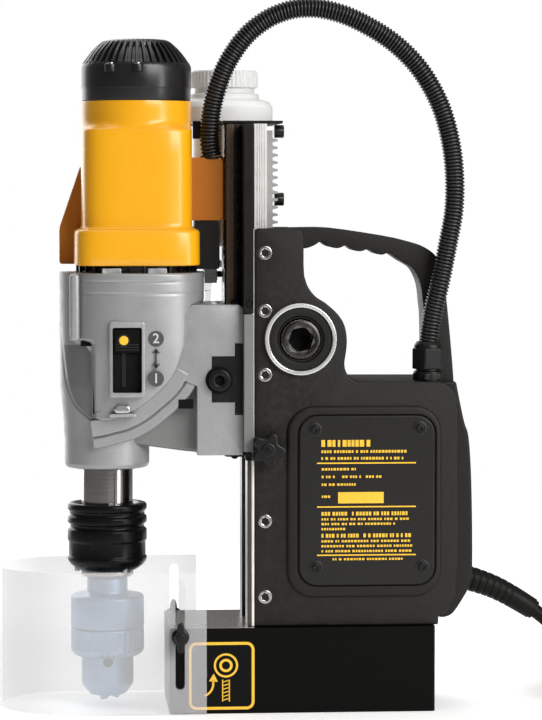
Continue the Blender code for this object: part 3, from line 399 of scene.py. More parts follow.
def softened(profile, radius, steps):
    """The profile again with its corners cut into small arcs, except where it meets the axis."""
    points = []
    count = len(profile)
    for i, p in enumerate(profile):
        p = Vector(p)
        before, after = Vector(profile[i - 1]), Vector(profile[(i + 1) % count])
        if p.x == 0:
            points.append(tuple(p))
            continue
        room = min(radius, (before - p).length * 0.45, (after - p).length * 0.45)
        a, b = p + (before - p).normalized() * room, p + (after - p).normalized() * room
        for k in range(steps + 1):
            t = k / steps
            points.append(tuple((1 - t) ** 2 * a + 2 * t * (1 - t) * p + t * t * b))
    return points


def arc(centre, radius, start, end, steps):
    turns = [radians(start + (end - start) * k / steps) for k in range(steps + 1)]
    return [(centre[0] + radius * cos(t), centre[1] + radius * sin(t)) for t in turns]


def rounded_rect(a, b, radius, steps=8):
    corners = [(a[1] - radius, b[1] - radius), (a[0] + radius, b[1] - radius),
               (a[0] + radius, b[0] + radius), (a[1] - radius, b[0] + radius)]
    return [p for k, corner in enumerate(corners) for p in arc(corner, radius, 90 * k, 90 * k + 90, steps)]


def smooth_line(points, steps):
    """A Catmull-Rom curve through points with two or three coordinates."""
    points = [Vector(p) for p in points]
    ends = [2 * points[0] - points[1], *points, 2 * points[-1] - points[-2]]
    line = []
    for i in range(len(points) - 1):
        p0, p1, p2, p3 = ends[i : i + 4]
        for k in range(steps):
            t = k / steps
            line.append(0.5 * (2 * p1 + (p2 - p0) * t + (2 * p0 - 5 * p1 + 4 * p2 - p3) * t**2
                               + (3 * p1 - p0 - 3 * p2 + p3) * t**3))
    return [*line, points[-1]]


def evenly(line, spacing):
    """The line again with points a fixed distance apart."""
    along = [0.0]
    for a, b in zip(line, line[1:]):
        along.append(along[-1] + (b - a).length)
    count = max(2, round(along[-1] / spacing))
    points, at = [], 0
    for k in range(count + 1):
        want = along[-1] * k / count
        while at < len(line) - 2 and along[at + 1] < want:
            at += 1
        share = (want - along[at]) / (along[at + 1] - along[at])
        points.append(line[at].lerp(line[at + 1], min(share, 1)))
    return points


def sweep(name, line, radius, look, body="carriage", segments=24, **finish):
    """A round section carried along a line without twisting; radius(index, share) gives its size."""
    last = len(line) - 1
    tangents = [(line[min(i + 1, last)] - line[max(i - 1, 0)]).normalized() for i in range(last + 1)]
    side = tangents[0].orthogonal().normalized()
    rows = []
    for i, (at, tangent) in enumerate(zip(line, tangents)):
        side = (side - tangent * side.dot(tangent)).normalized()
        up = tangent.cross(side)
        size = radius(i, i / last)
        turns = [2 * pi * k / segments for k in range(segments)]
        rows.append([at + (side * cos(t) + up * sin(t)) * size for t in turns])
    return skin(name, rows, look, body, **{"smooth": 40, **finish})


def line_band(name, points, width, low, high, look, body="carriage", closed=False):
    """A flat printed or raised line of one width that follows points (x, z) on a plane across Y."""
    points = [Vector(p) for p in points]
    last = len(points) - 1
    rows = []
    for i, p in enumerate(points):
        before = points[i - 1] if closed or i else p
        after = points[(i + 1) % len(points)] if closed or i < last else p
        along = (after - before).normalized()
        across = Vector((-along.y, along.x)) * width / 2
        corners = [(p + across, low), (p - across, low), (p - across, high), (p + across, high)]
        rows.append([(c.x, y, c.y) for c, y in corners])
    return skin(name, rows, look, body, closed)


def smoothstep(low, high, value):
    t = np.clip((value - low) / (high - low), 0, 1)
    return t * t * (3 - 2 * t)


# ---------------------------------------------------------------- camera, light, floor

# Name, place in metres, size in metres and power of each lamp.
SOFTBOXES = (
    ("left_softbox", (-0.8, 1.55, 0.55), (1.5, 1.3), 15),
    ("front_softbox", (1.05, -1.65, 1.15), (1.1, 1.1), 36),
    ("right_softbox", (1.25, -1.0, 0.5), (0.3, 1.5), 9),
    ("top_softbox", (-0.1, 0.1, 1.9), (1.3, 1.3), 11),
    ("rear_softbox", (-0.6, 1.7, 1.75), (1.2, 0.8), 8),
)
LAMP_TARGET = Vector((-0.03, 0, 0.2))
FLOOR_RADIUS = 1.6


def aimed(name, data, at, back):
    """A camera or lamp, which looks away from the direction back."""
    obj = link_object(name, data)
    obj.location = at
    obj.rotation_mode = "QUATERNION"
    obj.rotation_quaternion = back.to_track_quat("Z", "Y")
    return obj


def camera_and_stage():
    azimuth, drop = radians(-4.18), radians(3.3)
    back = Vector((sin(azimuth) * cos(drop), -cos(azimuth) * cos(drop), sin(drop)))
    data = bpy.data.cameras.new("camera")
    data.sensor_width = 36
    data.lens = 156.05
    bpy.context.scene.camera = aimed("camera", data, (-0.1623, -1.9877, 0.3353), back)
    for name, at, size, power in SOFTBOXES:
        light = bpy.data.lights.new(name, "AREA")
        light.shape = "RECTANGLE"
        light.size, light.size_y = size
        light.energy = power
        aimed(name, light, at, Vector(at) - LAMP_TARGET)
    studio()
    floor()
    bpy.context.scene.view_settings.view_transform = "Standard"


def studio():
    """Soft warm light from all round, and a white background."""
    sky = Nodes(bpy.data.worlds.new("studio"))
    glow = sky.tree.nodes["Background"]
    sky.feed(glow, {"Color": (0.97, 0.95, 0.92, 1), "Strength": 0.2})
    white = sky.add("Background", {"Color": (1, 1, 1, 1), "Strength": 1.0})
    path = sky.add("LightPath").outputs
    seen = sky.add("Math", {0: path["Is Camera Ray"], 1: path["Is Transmission Ray"]}, operation="MAXIMUM")
    choose = sky.add("MixShader", {0: seen.outputs[0], 1: glow.outputs[0], 2: white.outputs[0]})
    sky.feed(sky.tree.nodes["World Output"], {"Surface": choose.outputs[0]})
    bpy.context.scene.world = sky.owner


def floor():
    """A pale round floor that fades into the white background."""
    bm = bmesh.new()
    bmesh.ops.create_circle(bm, cap_ends=True, radius=FLOOR_RADIUS, segments=96)
    mesh = bpy.data.meshes.new("floor")
    bm.to_mesh(mesh)
    bm.free()
    obj = link_object("floor", mesh)
    obj.location.z = -0.0002
    made = Material("pale_floor")
    distance = made.add("VectorMath", {0: made.place}, operation="LENGTH")
    fade = made.ranged(distance.outputs["Value"], 1, 0, 0.45, 1.4)
    mesh.materials.append(made.shade((0.95, 0.95, 0.95, 1), 0.85, Alpha=fade, Emission_Color=(1, 1, 1, 1),
                                     Emission_Strength=0.28))


# ---------------------------------------------------------------- cords


BOOT = [(99, 0, 81.7), (108, 0, 79.6), (118, 0, 76.6), (129, 0, 72.2), (141, 0, 65.6), (153.5, 0, 57.8)]
LEAD = [(154.4, 0, 57.1), (163, -2.5, 49.8), (170, -9, 38.5), (174, -19, 26), (179.5, -30, 14),
        (188, -41.5, 6.3), (199, -50, 4.9), (214.4, -54, 4.9), (232, -52.5, 4.9), (250, -47.8, 4.9)]
COIL_MIDDLE = 49.5  # radius of the middle of three turns
COIL_START, COIL_END, COIL_STEP = 300, 3002, 7.5  # degrees


def coil_route():
    """Nine-millimetre cord wound three beside each other and three high, ending in the plug on top.

    A turn steps across or up in its own 60 degrees, so that no turn passes through another.
    """
    wide, middle, tight = COIL_MIDDLE + 2 * CORD_R, COIL_MIDDLE, COIL_MIDDLE - 2 * CORD_R
    radius = [(0, wide), (240, wide), (300, middle), (600, middle), (660, tight), (1200, tight),
              (1260, middle), (1560, middle), (1620, wide), (2160, wide), (2220, middle), (2520, middle),
              (2580, tight), (2900, tight), (COIL_END, 55.9)]
    height = [(0, 4.9), (900, 4.9), (960, 13.9), (1860, 13.9), (1920, 22.9), (2850, 22.9), (2925, 33.2),
              (COIL_END, 40.0)]
    line = []
    for turn in np.arange(0, COIL_END + 0.1, COIL_STEP):
        r = eased(radius, turn)
        angle = radians(COIL_START + turn)
        x, y = COIL_CENTRE[0] + r * cos(angle), COIL_CENTRE[1] + r * sin(angle)
        line.append(Vector((x, y, eased(height, turn))))
    return line


def eased(table, at):
    """A value that moves smoothly between the rows of a table."""
    for (x0, y0), (x1, y1) in zip(table, table[1:]):
        if at <= x1:
            return y0 + (y1 - y0) * float(smoothstep(x0, x1, at))
    return table[-1][1]


def curve_object(name, points, radius, look, body):
    data = bpy.data.curves.new(name, "CURVE")
    data.dimensions = "3D"
    data.bevel_depth = radius * MM
    data.bevel_resolution = 6
    data.use_fill_caps = True
    spline = data.splines.new("POLY")
    spline.points.add(len(points) - 1)
    for point, at in zip(spline.points, points):
        point.co = (*(at * MM), 1)
    data.materials.append(look)
    obj = link_object(name, data)
    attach(obj, body)
    return obj


def mains_cord():
    """The cord from inside its boot down to the coil behind the machine, and its plug."""
    coil = coil_route()
    steps = 8
    lead = smooth_line([*BOOT[2:], *LEAD, coil[0], coil[1]], steps)[:-steps]
    line = evenly([*lead, *coil], 4)
    line.append(Vector((COIL_CENTRE[0] + 20, COIL_CENTRE[1] + COIL_MIDDLE, 40.1)))
    cord = curve_object("mains_cord", line, CORD_R, RUBBER_LOOK, "frame")
    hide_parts("cord_lead", "cord_coil")
    pieces = [strain_relief(), *mains_plug()]
    length = sum((b - a).length for a, b in zip(line, line[1:])) * MM


def strain_relief():
    """Tapered rubber boot with bending grooves, a plain collar and a thinner end."""
    line = evenly(smooth_line(BOOT, 8), 0.5)
    wide, taper, end, groove = 8.3, 1.6, 6.1, 0.4

    def radius(i, share):
        if share < 0.1:
            return wide
        if share > 0.97:
            return end
        grooved = i % 9 < 2 and 0.16 < share < 0.7
        return wide - taper * share - (groove if grooved else 0)

    return sweep("cord_strain_relief", line, radius, RUBBER_LOOK, "frame", 40, smooth=50, slot="cord_rubber",
                 replaces="cord_boot")


def mains_plug():
    """Moulded three-pin plug that lies on the coil."""
    x, y, low = COIL_CENTRE[0], COIL_CENTRE[1] + COIL_MIDDLE, 27.6
    flank = [(26, 5.6), (14, 8), (4, 12.6), (-19.6, 12.6)]
    outline = [(x + 26, y - 5.6), *[(x + a, y + b) for a, b in flank],
               *[(x + a, y - b) for a, b in flank[:0:-1]]]
    pieces = [prism("plug_body", outline, low + 0.3, low + 24.7, RUBBER_LOOK, "frame", 3.2, 5, "Z",
                    slot="cord_rubber", replaces="cord_plug")]
    middle = low + 12.5
    for side in (-1, 1):
        blade = y + side * 6.35
        pieces.append(box(f"plug_blade_{side + 1}", (x - 38, x - 19), (blade - 0.75, blade + 0.75),
                          (middle - 1, middle + 5.4), SCREW_LOOK, "frame", 0.3))
    pieces.append(ring("plug_earth_pin", (0, 2.3), (x - 39.5, x - 19), 1, (y, middle - 7), SCREW_LOOK,
                       "frame", "X", 40))
    for k in range(5):
        start = x - 12 + 4 * k
        pieces.append(box(f"plug_grip_{k}", (start, start + 1.6), (y - 9, y + 9), (low + 24.2, low + 25),
                          RUBBER_LOOK, "frame", 0.25))
    return pieces


CONDUIT = [(-55.3, -8, 350.4), (-56.6, -8, 360.7), (-55.3, -8, 379.6), (-50.2, -8, 398.5), (-42.6, -8, 414.2),
           (-31.2, -8.5, 428.7), (-15.4, -10, 439.4), (3, -12, 443.9), (22.6, -14, 441.4), (41.7, -16, 433.3),
           (60.8, -18, 420.8), (76.8, -20, 403.8), (88.3, -22, 383), (94.8, -23.5, 360.8), (97.4, -25, 338.6),
           (96.9, -26, 316.4), (93.1, -26, 294.2), (88.7, -26, 271.9), (83.6, -26, 249.6), (81.2, -26, 233.4)]
RING_PITCH = 2.2
RING_RADII = (5.2, 5.75, 6.25, 6.35, 6.25, 5.75)


def conduit():
    """Corrugated conduit: rounded rings a couple of millimetres apart."""
    steps = len(RING_RADII)
    line = evenly(smooth_line(CONDUIT, 10), RING_PITCH / steps)
    hose = sweep("conduit_corrugated", line, lambda i, share: RING_RADII[i % steps], CONDUIT_LOOK, None, 28,
                 smooth=70, slot="black_plastic", replaces="conduit")
    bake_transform(hose)


# ---------------------------------------------------------------- screws


def socket_screw(name, centre, face, radius, height, across, look, body="carriage", side=-1, axis="Y",
                 depth=2.6, turn=0.35, soft=0.5, shadowed=False, **finish):
    """A cap screw or hub with a hexagon socket; its face looks along side times the axis."""
    segments = 60

    def hexagon_radius(share):
        return across / 2 / cos((2 * pi * share + turn) % (pi / 3) - pi / 6)

    levels = [(radius, height), (radius, soft), (radius - soft * 0.3, soft * 0.3), (radius - soft, 0)]
    lip = across / sqrt(3) + 0.35
    if radius - soft > lip + 0.3:
        levels.append((lip, 0))
    levels += [(hexagon_radius, 0.35), (hexagon_radius, depth)]
    rows = [round_row(centre, face - side * below, size, segments, axis) for size, below in levels]
    screw = skin(name, rows, look, body, **{"smooth": 32, **finish})
    if shadowed:
        # A near-black disc near the socket's floor paints its shadow.
        heights = [face - side * (depth - above) for above in (0.05, 0.25)]
        bottom = ring(f"{name}_socket", (0, across / 2), heights, 0, centre, HOLE_SHADOW_LOOK, body, axis, 48)
        bottom.parent = screw


def frame_fasteners():
    for number, z in enumerate(SCREW_ROWS, start=1):
        at = (SCREW_X, z)
        socket_screw(f"gib_screw_{number}", at, -39.2, 4.4, 4.8, 4.4, SCREW_LOOK, "frame", turn=0.3 * number,
                     shadowed=True, slot="bright_steel", replaces=f"frame_screw_{number}")
        socket_screw(f"gib_screw_far_{number}", at, 39.2, 4.4, 4.8, 4.4, SCREW_LOOK, "frame", 1,
                     turn=0.4 * number, shadowed=True)
        for side in (-1, 1):
            ring(f"screw_seat_{number}_{side + 1}", (4.7, 5.6), (38.1, 38.35), 0, at, FRAME_LOOK, "frame",
                 "Y", 48, side)
    for number, z in enumerate((40.6, 24.3, 8.2)):
        socket_screw(f"magnet_set_screw_{number}", (-26, z), -42.15, 1.7, 2, 1.5, MAGNET_LOOK, "frame",
                     soft=0.2, depth=1)


def hub():
    """Bearing flange and the feed pinion's socketed end, on both sides."""
    rim = [(20.0, 39.7), (20.0, 41.6), (20.4, 42.0), (22.2, 42.0), (22.6, 41.5), (22.6, 38.0), (20.0, 38.0)]
    dish = [(13.0, 37.6), (20.4, 37.6), (20.4, 39.6), (18.2, 39.9), (14.8, 39.9), (14.2, 38.6), (13.0, 38.6)]
    lip = [(9.6, 42.2), (10.1, 42.8), (10.8, 42.7), (11.1, 42.2)]
    for name, side in SIDES:
        lathe(f"hub_rim_{name}", rim, 0.4, HUB, CHROME_LOOK, "frame", "Y", 128, side, slot="hub_chrome",
              replaces=f"pinion_bearing_{name}")
        lathe(f"hub_dish_{name}", dish, 0.4, HUB, PLATE_LOOK, "frame", "Y", 128, side)
        socket_screw(f"feed_socket_{name}", HUB, side * 42.4, 12.3, 26, 15.6, HUB_LOOK, "feed_pinion", side,
                     depth=13, turn=0.2, soft=1.6)
        lathe(f"feed_socket_lip_{name}", lip, 0.2, HUB, HUB_LOOK, "feed_pinion", "Y", 96, side)
        # A near-black disc near the socket's floor paints its shadow.
        ring(f"feed_socket_shadow_{name}", (0, 7.2), (29.6, 29.2), 0, HUB, HOLE_SHADOW_LOOK, "feed_pinion", "Y", 48,
             side)
    soften("feed_pinion", 0.2, STEEL_LOOK)


# ---------------------------------------------------------------- motor


def vented_cap():
    """Black cap with forty slots down its cone."""
    slots, per_slot = 40, 10
    # Radius, height and how far the slots are open there.
    profile = [(34.4, 385.4, 0), (34.7, 386, 0), (34.7, 392.3, 0), (34.95, 393, 0), (35.1, 394, 0),
               (35.1, 405.6, 0), (34.8, 407.3, 0), (34.2, 408.6, 0), (33.3, 409.8, 0.55), (32.4, 411.1, 1),
               (31.2, 412.8, 1), (29.8, 414.7, 1), (28.2, 416.6, 1), (26.5, 418.4, 1), (24.8, 420, 1),
               (23.4, 421.3, 0.75), (22, 422.4, 0.15), (20.6, 423.2, 0), (18.9, 423.8, 0), (17, 424, 0),
               (9, 424.1, 0), (0.6, 424.1, 0)]
    rows = []
    for radius, height, depth in profile:
        row = []
        for k in range(slots * per_slot):
            wave = 1 - 2 * abs(k % per_slot / per_slot - 0.5)
            sunk = depth * float(smoothstep(0.42, 0.62, wave))
            turn = 2 * pi * k / (slots * per_slot)
            size = radius - 2.4 * sunk
            row.append((MOTOR_X + size * cos(turn), size * sin(turn), height - 1.5 * sunk))
        rows.append(row)
    skin("vented_cap", rows, CAP_LOOK, smooth=42, slot="black_plastic", replaces="motor_cap")
    boss = [(0, 403), (3.9, 403), (3.9, 407.6), (2.9, 408.2), (2.9, 407.4), (0, 407.4)]
    for k, turn in enumerate((240, 270, 60, 120)):
        at = (MOTOR_X + 33.2 * cos(radians(turn)), 33.2 * sin(radians(turn)))
        lathe(f"cap_boss_{k}", boss, 0.3, at, CAP_LOOK, segments=40)
        socket_screw(f"cap_screw_{k}", at, 408.8, 2.4, 3, 2.2, SCREW_LOOK, side=1, axis="Z", depth=1.2,
                     turn=0.5 * k, soft=0.35)


def boxy(half_x, half_y, power):
    """Distance from the axis to a rounded-square section, as a function of the share of a turn."""

    def radius(share):
        turn = 2 * pi * share
        return ((abs(cos(turn)) / half_x) ** power + (abs(sin(turn)) / half_y) ** power) ** (-1 / power)

    return radius


def motor_shell():
    """Yellow housing: round under the cap, then flat-faced, then the wider skirt."""
    # Height, half width along X and Y, and how square the section is (2 is an ellipse).
    levels = [(281.7, 38.9, 38.4, 5.5), (282.3, 39.7, 39.0, 5.5), (288, 39.7, 39.0, 5.5),
              (301.6, 39.6, 38.9, 5.4), (303.2, 39.3, 38.6, 5.3), (304.1, 38.4, 37.7, 5.1),
              (304.7, 36.9, 36.3, 4.9), (305.3, 35.8, 35.2, 4.7), (306.4, 35.2, 34.7, 4.6),
              (308.5, 35.0, 34.6, 4.6), (330, 35.0, 34.6, 4.6), (350, 35.0, 34.7, 4.6),
              (365.4, 35.0, 34.7, 4.5), (366.4, 35.0, 34.6, 4.3), (367.4, 35.0, 34.3, 3.7),
              (368.4, 35.0, 33.8, 3.0), (369.6, 35.0, 33.4, 2.5), (371.2, 35.0, 33.2, 2.2),
              (373, 35.0, 33.3, 2.05), (378, 35.0, 34.2, 2.0), (384.2, 35.0, 34.8, 2.0),
              (385.0, 34.6, 34.6, 2.0)]
    rows = [round_row(MOTOR, height, boxy(*section), 240) for height, *section in levels]
    skin("motor_shell", rows, YELLOW_LOOK, smooth=50, slot="yellow_housing", replaces="motor_housing")
    fin = [(-134, 344.5), (-137.4, 344.5), (-138.6, 343.4), (-151.4, 306), (-151.8, 303), (-151.8, 283),
           (-150.8, 282), (-134, 282)]
    # The side duct carries the housing's yellow with painted shade.
    prism("motor_side_duct", fin, 2, 25, SHADE_LOOK, soft=1.6, segments=4)
    for number, z in enumerate((290, 298, 306, 314)):
        slope = -150.6 + max(z - 304, 0) * 0.33
        box(f"duct_louvre_{number}", (slope - 0.9, slope + 6), (6, 21), (z, z + 2.4), CAP_LOOK, soft=0.5)
    for side in (-1, 1):
        line_band(f"shell_seam_{side + 1}", [(-68.4, 283), (-68.2, 303), (-68.35, 366)], 0.5, side * 1.2,
                  side * 1.6, CAP_LOOK)


def terminal_and_baffle():
    outline = [(-72, 310.6), (-71, 309.8), (-50, 309.8), (-48.1, 311.8), (-48.1, 347.4), (-50, 349.5),
               (-72, 349.5)]
    # The terminal cover carries the housing's yellow with painted shade.
    prism("terminal_cover", outline, -14, 14, SHADE_LOOK, soft=2.6, segments=5, slot="yellow_housing",
          replaces="terminal_box")
    ring("conduit_collar", (5.4, 7.3), (348.6, 350.2), 0.3, (-55.5, -8), BLACK_LOOK,
          segments=64)
    for z in (315, 344):
        socket_screw(f"terminal_screw_{z}", (-52.9, z), 14.1, 2.0, 1.6, 1.9, SCREW_LOOK, side=1, depth=0.9,
                     soft=0.3)
    section = [(30, 276.7), (37.6, 276.7), (37.6, 278), (36.2, 278.4), (36.2, 280.6), (37.4, 281),
               (37.4, 282.4), (30, 282.4)]
    lathe("baffle_ring", section, 0.3, MOTOR, CAP_LOOK, slot="black_plastic", replaces="fan_baffle")
    ribs = 28
    for k in range(ribs):
        turn = 2 * pi * (k + 0.5) / ribs
        at = Vector((MOTOR_X + 37.6 * cos(turn), 37.6 * sin(turn), 279.4))
        box(f"baffle_rib_{k}", (-1.4, 1.0), (-0.8, 0.8), (-2.2, 2.2), CAP_LOOK, soft=0,
            turn=Matrix.Translation(at) @ Matrix.Rotation(turn, 4, "Z"))
    for k, x in enumerate((-119.5, -91)):
        box(f"baffle_lug_{k}", (x - 6, x + 6), (-39.2, -36), (276.4, 280.2), CAST_LOOK, soft=0.6)
    block = [(-66, 279), (-51.6, 279), (-50.6, 280), (-50.6, 309.4), (-66, 309.4)]
    prism("lead_block", block, -14, 14, BLACK_LOOK, soft=1)


# ---------------------------------------------------------------- gearbox

# Outline, in x and z, of the raised barrel face, anticlockwise from its top left. Its lower right
# edge is the one that the curved ribs follow.
LOWER_EDGE = [(-120, 184.6), (-111.4, 186.9), (-102, 192), (-94.5, 198.1), (-87, 204.5), (-81.9, 210.6),
              (-78, 217.5)]
BARREL_FACE = [(-150, 280), (-147, 262), (-144, 259), (-143.2, 254), (-143, 236.5), (-141.5, 234.6),
               (-132.5, 234.2), (-131, 232.5), (-130.6, 190), (-130.2, 185.4), (-126, 184), *LOWER_EDGE,
               (-75.6, 224.9), (-73.3, 232), (-72.5, 238.7), (-72.5, 250), (-70, 256), (-62, 259), (-55, 262),
               (-55, 280)]
# Left edge of the cup cast into the spindle nose.
CUP_EDGE = [(-151.6, 247), (-151.2, 240), (-150, 228), (-148, 210), (-145.6, 201), (-142.4, 194),
            (-137, 188.6), (-129.8, 183.3)]
WINDOW = ((-119.4, -100.7), (202.2, 243.8))
CASTING_FLOOR, CASTING_TOP = 153.2, 277


def distance_to_line(x, z, line):
    """Distance to a line of points (x, z), for arrays of places."""
    best = np.full(x.shape, 1e9)
    for (ax, az), (bx, bz) in zip(line, line[1:]):
        dx, dz = bx - ax, bz - az
        share = np.clip(((x - ax) * dx + (z - az) * dz) / (dx * dx + dz * dz), 0, 1)
        best = np.minimum(best, np.hypot(x - ax - share * dx, z - az - share * dz))
    return best


def distance_inside(x, z, outline):
    """Signed distance to a closed outline, positive inside."""
    loop = [*outline, outline[0]]
    inside = np.zeros(x.shape, bool)
    for (ax, az), (bx, bz) in zip(loop, loop[1:]):
        if az != bz:
            inside ^= ((az > z) != (bz > z)) & (x < ax + (z - az) * (bx - ax) / (bz - az))
    return np.where(inside, 1, -1) * distance_to_line(x, z, loop)


def nose_radius(z):
    return np.interp(z, [153.2, 154.2, 155.5, 172, 188, 205, 277], [24.6, 26.2, 26.9, 27.0, 28.0, 29.6, 30.0])


def barrel_radius(z):
    return np.interp(z, [153, 180, 200, 214, 232, 277], [0.1, 6, 28, 36, 42.5, 42.5])


def round_depth(x, centre, radius, power=2.0):
    """Half width of a round section, squarer as the power grows."""
    radius = np.maximum(radius, 0.01)
    share = np.clip(np.abs(x - centre) / radius, 0, 1)
    return radius * (1 - share**power) ** (1 / power)


def cast_depth(x, z, near):
    """Half width of the casting at points of its side view, with the relief of its face."""
    nose = round_depth(x, SPINDLE_X, nose_radius(z))
    barrel = np.where(z > 181, round_depth(x, MOTOR_X, barrel_radius(z)), 0)
    full = round_depth(x, MOTOR_X, 43.0, 2.7) * (1 - 0.13 * smoothstep(235, 186, z))
    inside = distance_inside(x, z, BARREL_FACE)
    blend = smoothstep(-1.6, 1.4, inside)
    depth = np.where((z > 234) & (x > -100), np.maximum(nose, barrel),
                     np.maximum(nose, np.minimum(barrel, 31)))
    depth = depth * (1 - blend) + np.maximum(full, depth) * blend
    if near:
        cup = distance_to_line(x, z, CUP_EDGE)
        depth = depth - 1.3 * np.exp(-((cup / 0.9) ** 2)) * (nose > 2)
        (left, right), (bottom, top) = WINDOW
        depth = np.where((x > left) & (x < right) & (z > bottom) & (z < top), 38.0, depth)
    for groove in (264.3, 271.8):
        depth = depth - 0.55 * np.exp(-(((z - groove) / 0.55) ** 2)) * (inside > 1.2)
    return depth


def casting_skin():
    """The casting as two relief skins, near and far, joined at their outline."""
    heights = np.concatenate([np.linspace(CASTING_FLOOR, 156, 7), np.arange(156.7, 276.3, 0.65),
                              [276.6, CASTING_TOP]])
    count = 230
    spread = (1 - np.cos(np.linspace(0, pi, count))) / 2
    rows = []
    for z in heights:
        barrel = barrel_radius(z) if z > 190 else 0
        left = min(SPINDLE_X - nose_radius(z), MOTOR_X - barrel)
        right = max(SPINDLE_X + nose_radius(z), MOTOR_X + barrel)
        x = left + (right - left) * spread
        rim = 1 - 0.02 * smoothstep(276.2, CASTING_TOP, z)
        near, far = (cast_depth(x, np.full(count, z), is_near) * rim for is_near in (True, False))
        near[0] = near[-1] = far[0] = far[-1] = 0
        rows.append([(a, -b, z) for a, b in zip(x, near)] + [(a, b, z) for a,
                                                             b in zip(x[-2:0:-1], far[-2:0:-1])])
    skin("gearbox_casting", rows, CAST_LOOK, smooth=60, slot="cast_aluminium", replaces="gearbox_housing")


def clamp_block():
    """Block that closes on the slide, cut for the slide and for the clamp plate."""
    block = [(-66, 162.3), (-37, 162.3), (-36.8, 163), (-36.8, 254.8), (-39.4, 257.1), (-69, 257.1),
             (-80, 250), (-80, 212), (-66, 206)]
    tee = [(-56.8, 195.6), (-42.2, 195.6), (-42.2, 187.7), (-34, 187.7), (-34, 232.9), (-42.2, 232.9),
           (-42.2, 224.8), (-56.8, 224.8)]
    cut(prism("clamp_block", block, -33, 33, CAST_LOOK, soft=1.6, segments=4),
        cutter("slot_cutter", rectangle((-48.2, -30), (150, 270)), -20.4, 20.4),
        cutter("tee_cutter", tee, -36, -29.6))


def keepers():
    """Angled strips that hold the slide, with a black cover over their upper length, and their screws."""
    flange = [(-36.9, -40.2), (-30.8, -40.2), (-30.8, -38.4), (-35.1, -38.4), (-35.1, -30), (-36.9, -30)]
    deep = [(x, y if y < -30.5 else -21) for x, y in flange]
    for side in (-1, 1):
        # The keeper strips carry the cast silver with painted shade.
        for name, outline, low, high, look in (("strip", flange, 165, 251.4, CAST_SHADE_LOOK),
                                               ("cover", deep, 251.9, 370.3, BLACK_LOOK)):
            turned = [(x, -side * y) for x, y in outline]
            prism(f"keeper_{name}_{side + 1}", turned, low, high, look, soft=0.35, segments=2, axis="Z")
        for number, z in enumerate((257.9, 161.5)):
            socket_screw(f"keeper_screw_{side + 1}_{number}", (-33.6, z), side * 40.2, 2.7, 6, 2.4,
                         SOCKET_LOOK, side=side, depth=1.4)


def offset_line(line, distance):
    """Points moved to the right-hand side of the line's direction."""
    moved = []
    for i, p in enumerate(line):
        along = (line[min(i + 1, len(line) - 1)] - line[max(i - 1, 0)]).normalized()
        moved.append(p + Vector((along.y, -along.x)) * distance)
    return moved


def lower_bands():
    """Web under the barrel, and two curved ribs along its face's lower edge with a floor between them."""
    web = [(-110, 169.2), (-72, 163.9), (-64, 163.2), (-64, 215), (-110, 190)]
    # The web carries the cast silver with painted shade.
    prism("lower_web", web, -21, 21, CAST_SHADE_LOOK, soft=2.0, segments=4)
    edge = smooth_line([(-133, 181.9), (-126, 183), *LOWER_EDGE], 4)
    for name, inner, outer, depth, soft, segments in (("curved_rib_0", -2.5, 7.7, 33.4, 0.9, 4),
                                                      ("curved_rib_1", 8.9, 14.8, 31.6, 0.9, 4),
                                                      ("rib_floor", 0, 15.5, 29.6, 0.8, 2)):
        points = offset_line(edge, inner) + offset_line(edge, outer)[::-1]
        outline = [(min(p.x, -66.6 + 0.02 * i), p.y) for i, p in enumerate(points)]
        prism(name, outline, -depth, depth, CAST_LOOK, soft=soft, segments=segments)


def cup_shade_sheet():
    """Painted shade: a darker sheet laid inside the cup, and black strips that paint the shadows along its
    edges.
    """
    cup_x, cup_z = zip(*reversed(CUP_EDGE))
    rows = []
    for z in np.linspace(186.5, 231.2, 60):
        left = np.interp(z, cup_z, cup_x) + 0.9
        x = np.linspace(left, max(left + 0.4, -131.4), 24)
        near = -round_depth(x, SPINDLE_X, nose_radius(z)) - 0.3
        face = list(zip(x, near))
        rows.append([(a, b, z) for a, b in face] + [(a, b + 1.2, z) for a, b in face[::-1]])
    skin("cup_shade_sheet", rows, CUP_SHADE_LOOK, smooth=50)
    box("cup_shadow_line", (-131.3, -130.6), (-30.6, -24), (188.5, 231.6), HOLE_SHADOW_LOOK, soft=0.2)
    box("cup_notch_shadow", (-138.9, -130.8), (-31.4, -12), (231.3, 234.1), HOLE_SHADOW_LOOK, soft=0.3)


DIAL_X, DIAL_FACE = -92.1, -43.15


def selector():
    """Raised window with the two-speed slider and its yellow dot."""
    rim = prism("selector_rim", rounded_rect((-121.4, -98.8), (199.6, 247.3), 2.2), -44.0, -36, CAST_LOOK,
                soft=0.9)
    opening = rounded_rect((-119.2, -100.9), (202.6, 243.4), 1.2)
    cut(rim, cutter("window_cutter", opening, -50, -38.6))
    # A near-black sheet paints the shadow in the window's well.
    prism("selector_well_shadow", rounded_rect((-119.4, -100.7), (202.4, 243.6), 1.2), -38.9, -37.4, HOLE_SHADOW_LOOK)
    box("selector_slot", (-113.4, -111), (-39.4, -38.8), (206, 240), CAP_LOOK, soft=0.05)
    box("selector_slider", (-118.6, -101.5), (-42.2, -39.5), (227.6, 242.6), LABEL_LOOK, "gear_selector", 0.9,
        slot="black_plastic", replaces="gear_selector")
    for k in range(3):
        z = 229.2 + 1.6 * k
        box(f"slider_grip_{k}", (-117.4, -102.7), (-42.7, -41.9), (z, z + 0.7), CAP_LOOK, "gear_selector",
            0.2)
    dot = (-112.2, 235.4)
    ring("selector_dot", (0, 2.9), (-42.8, -42), 0.3, dot, INK_LOOK, "gear_selector", "Y", 48)
    ring("selector_dot_ring", (3.0, 4.1), (-42.5, -42), 0, dot, CAP_LOOK, "gear_selector", "Y", 48)


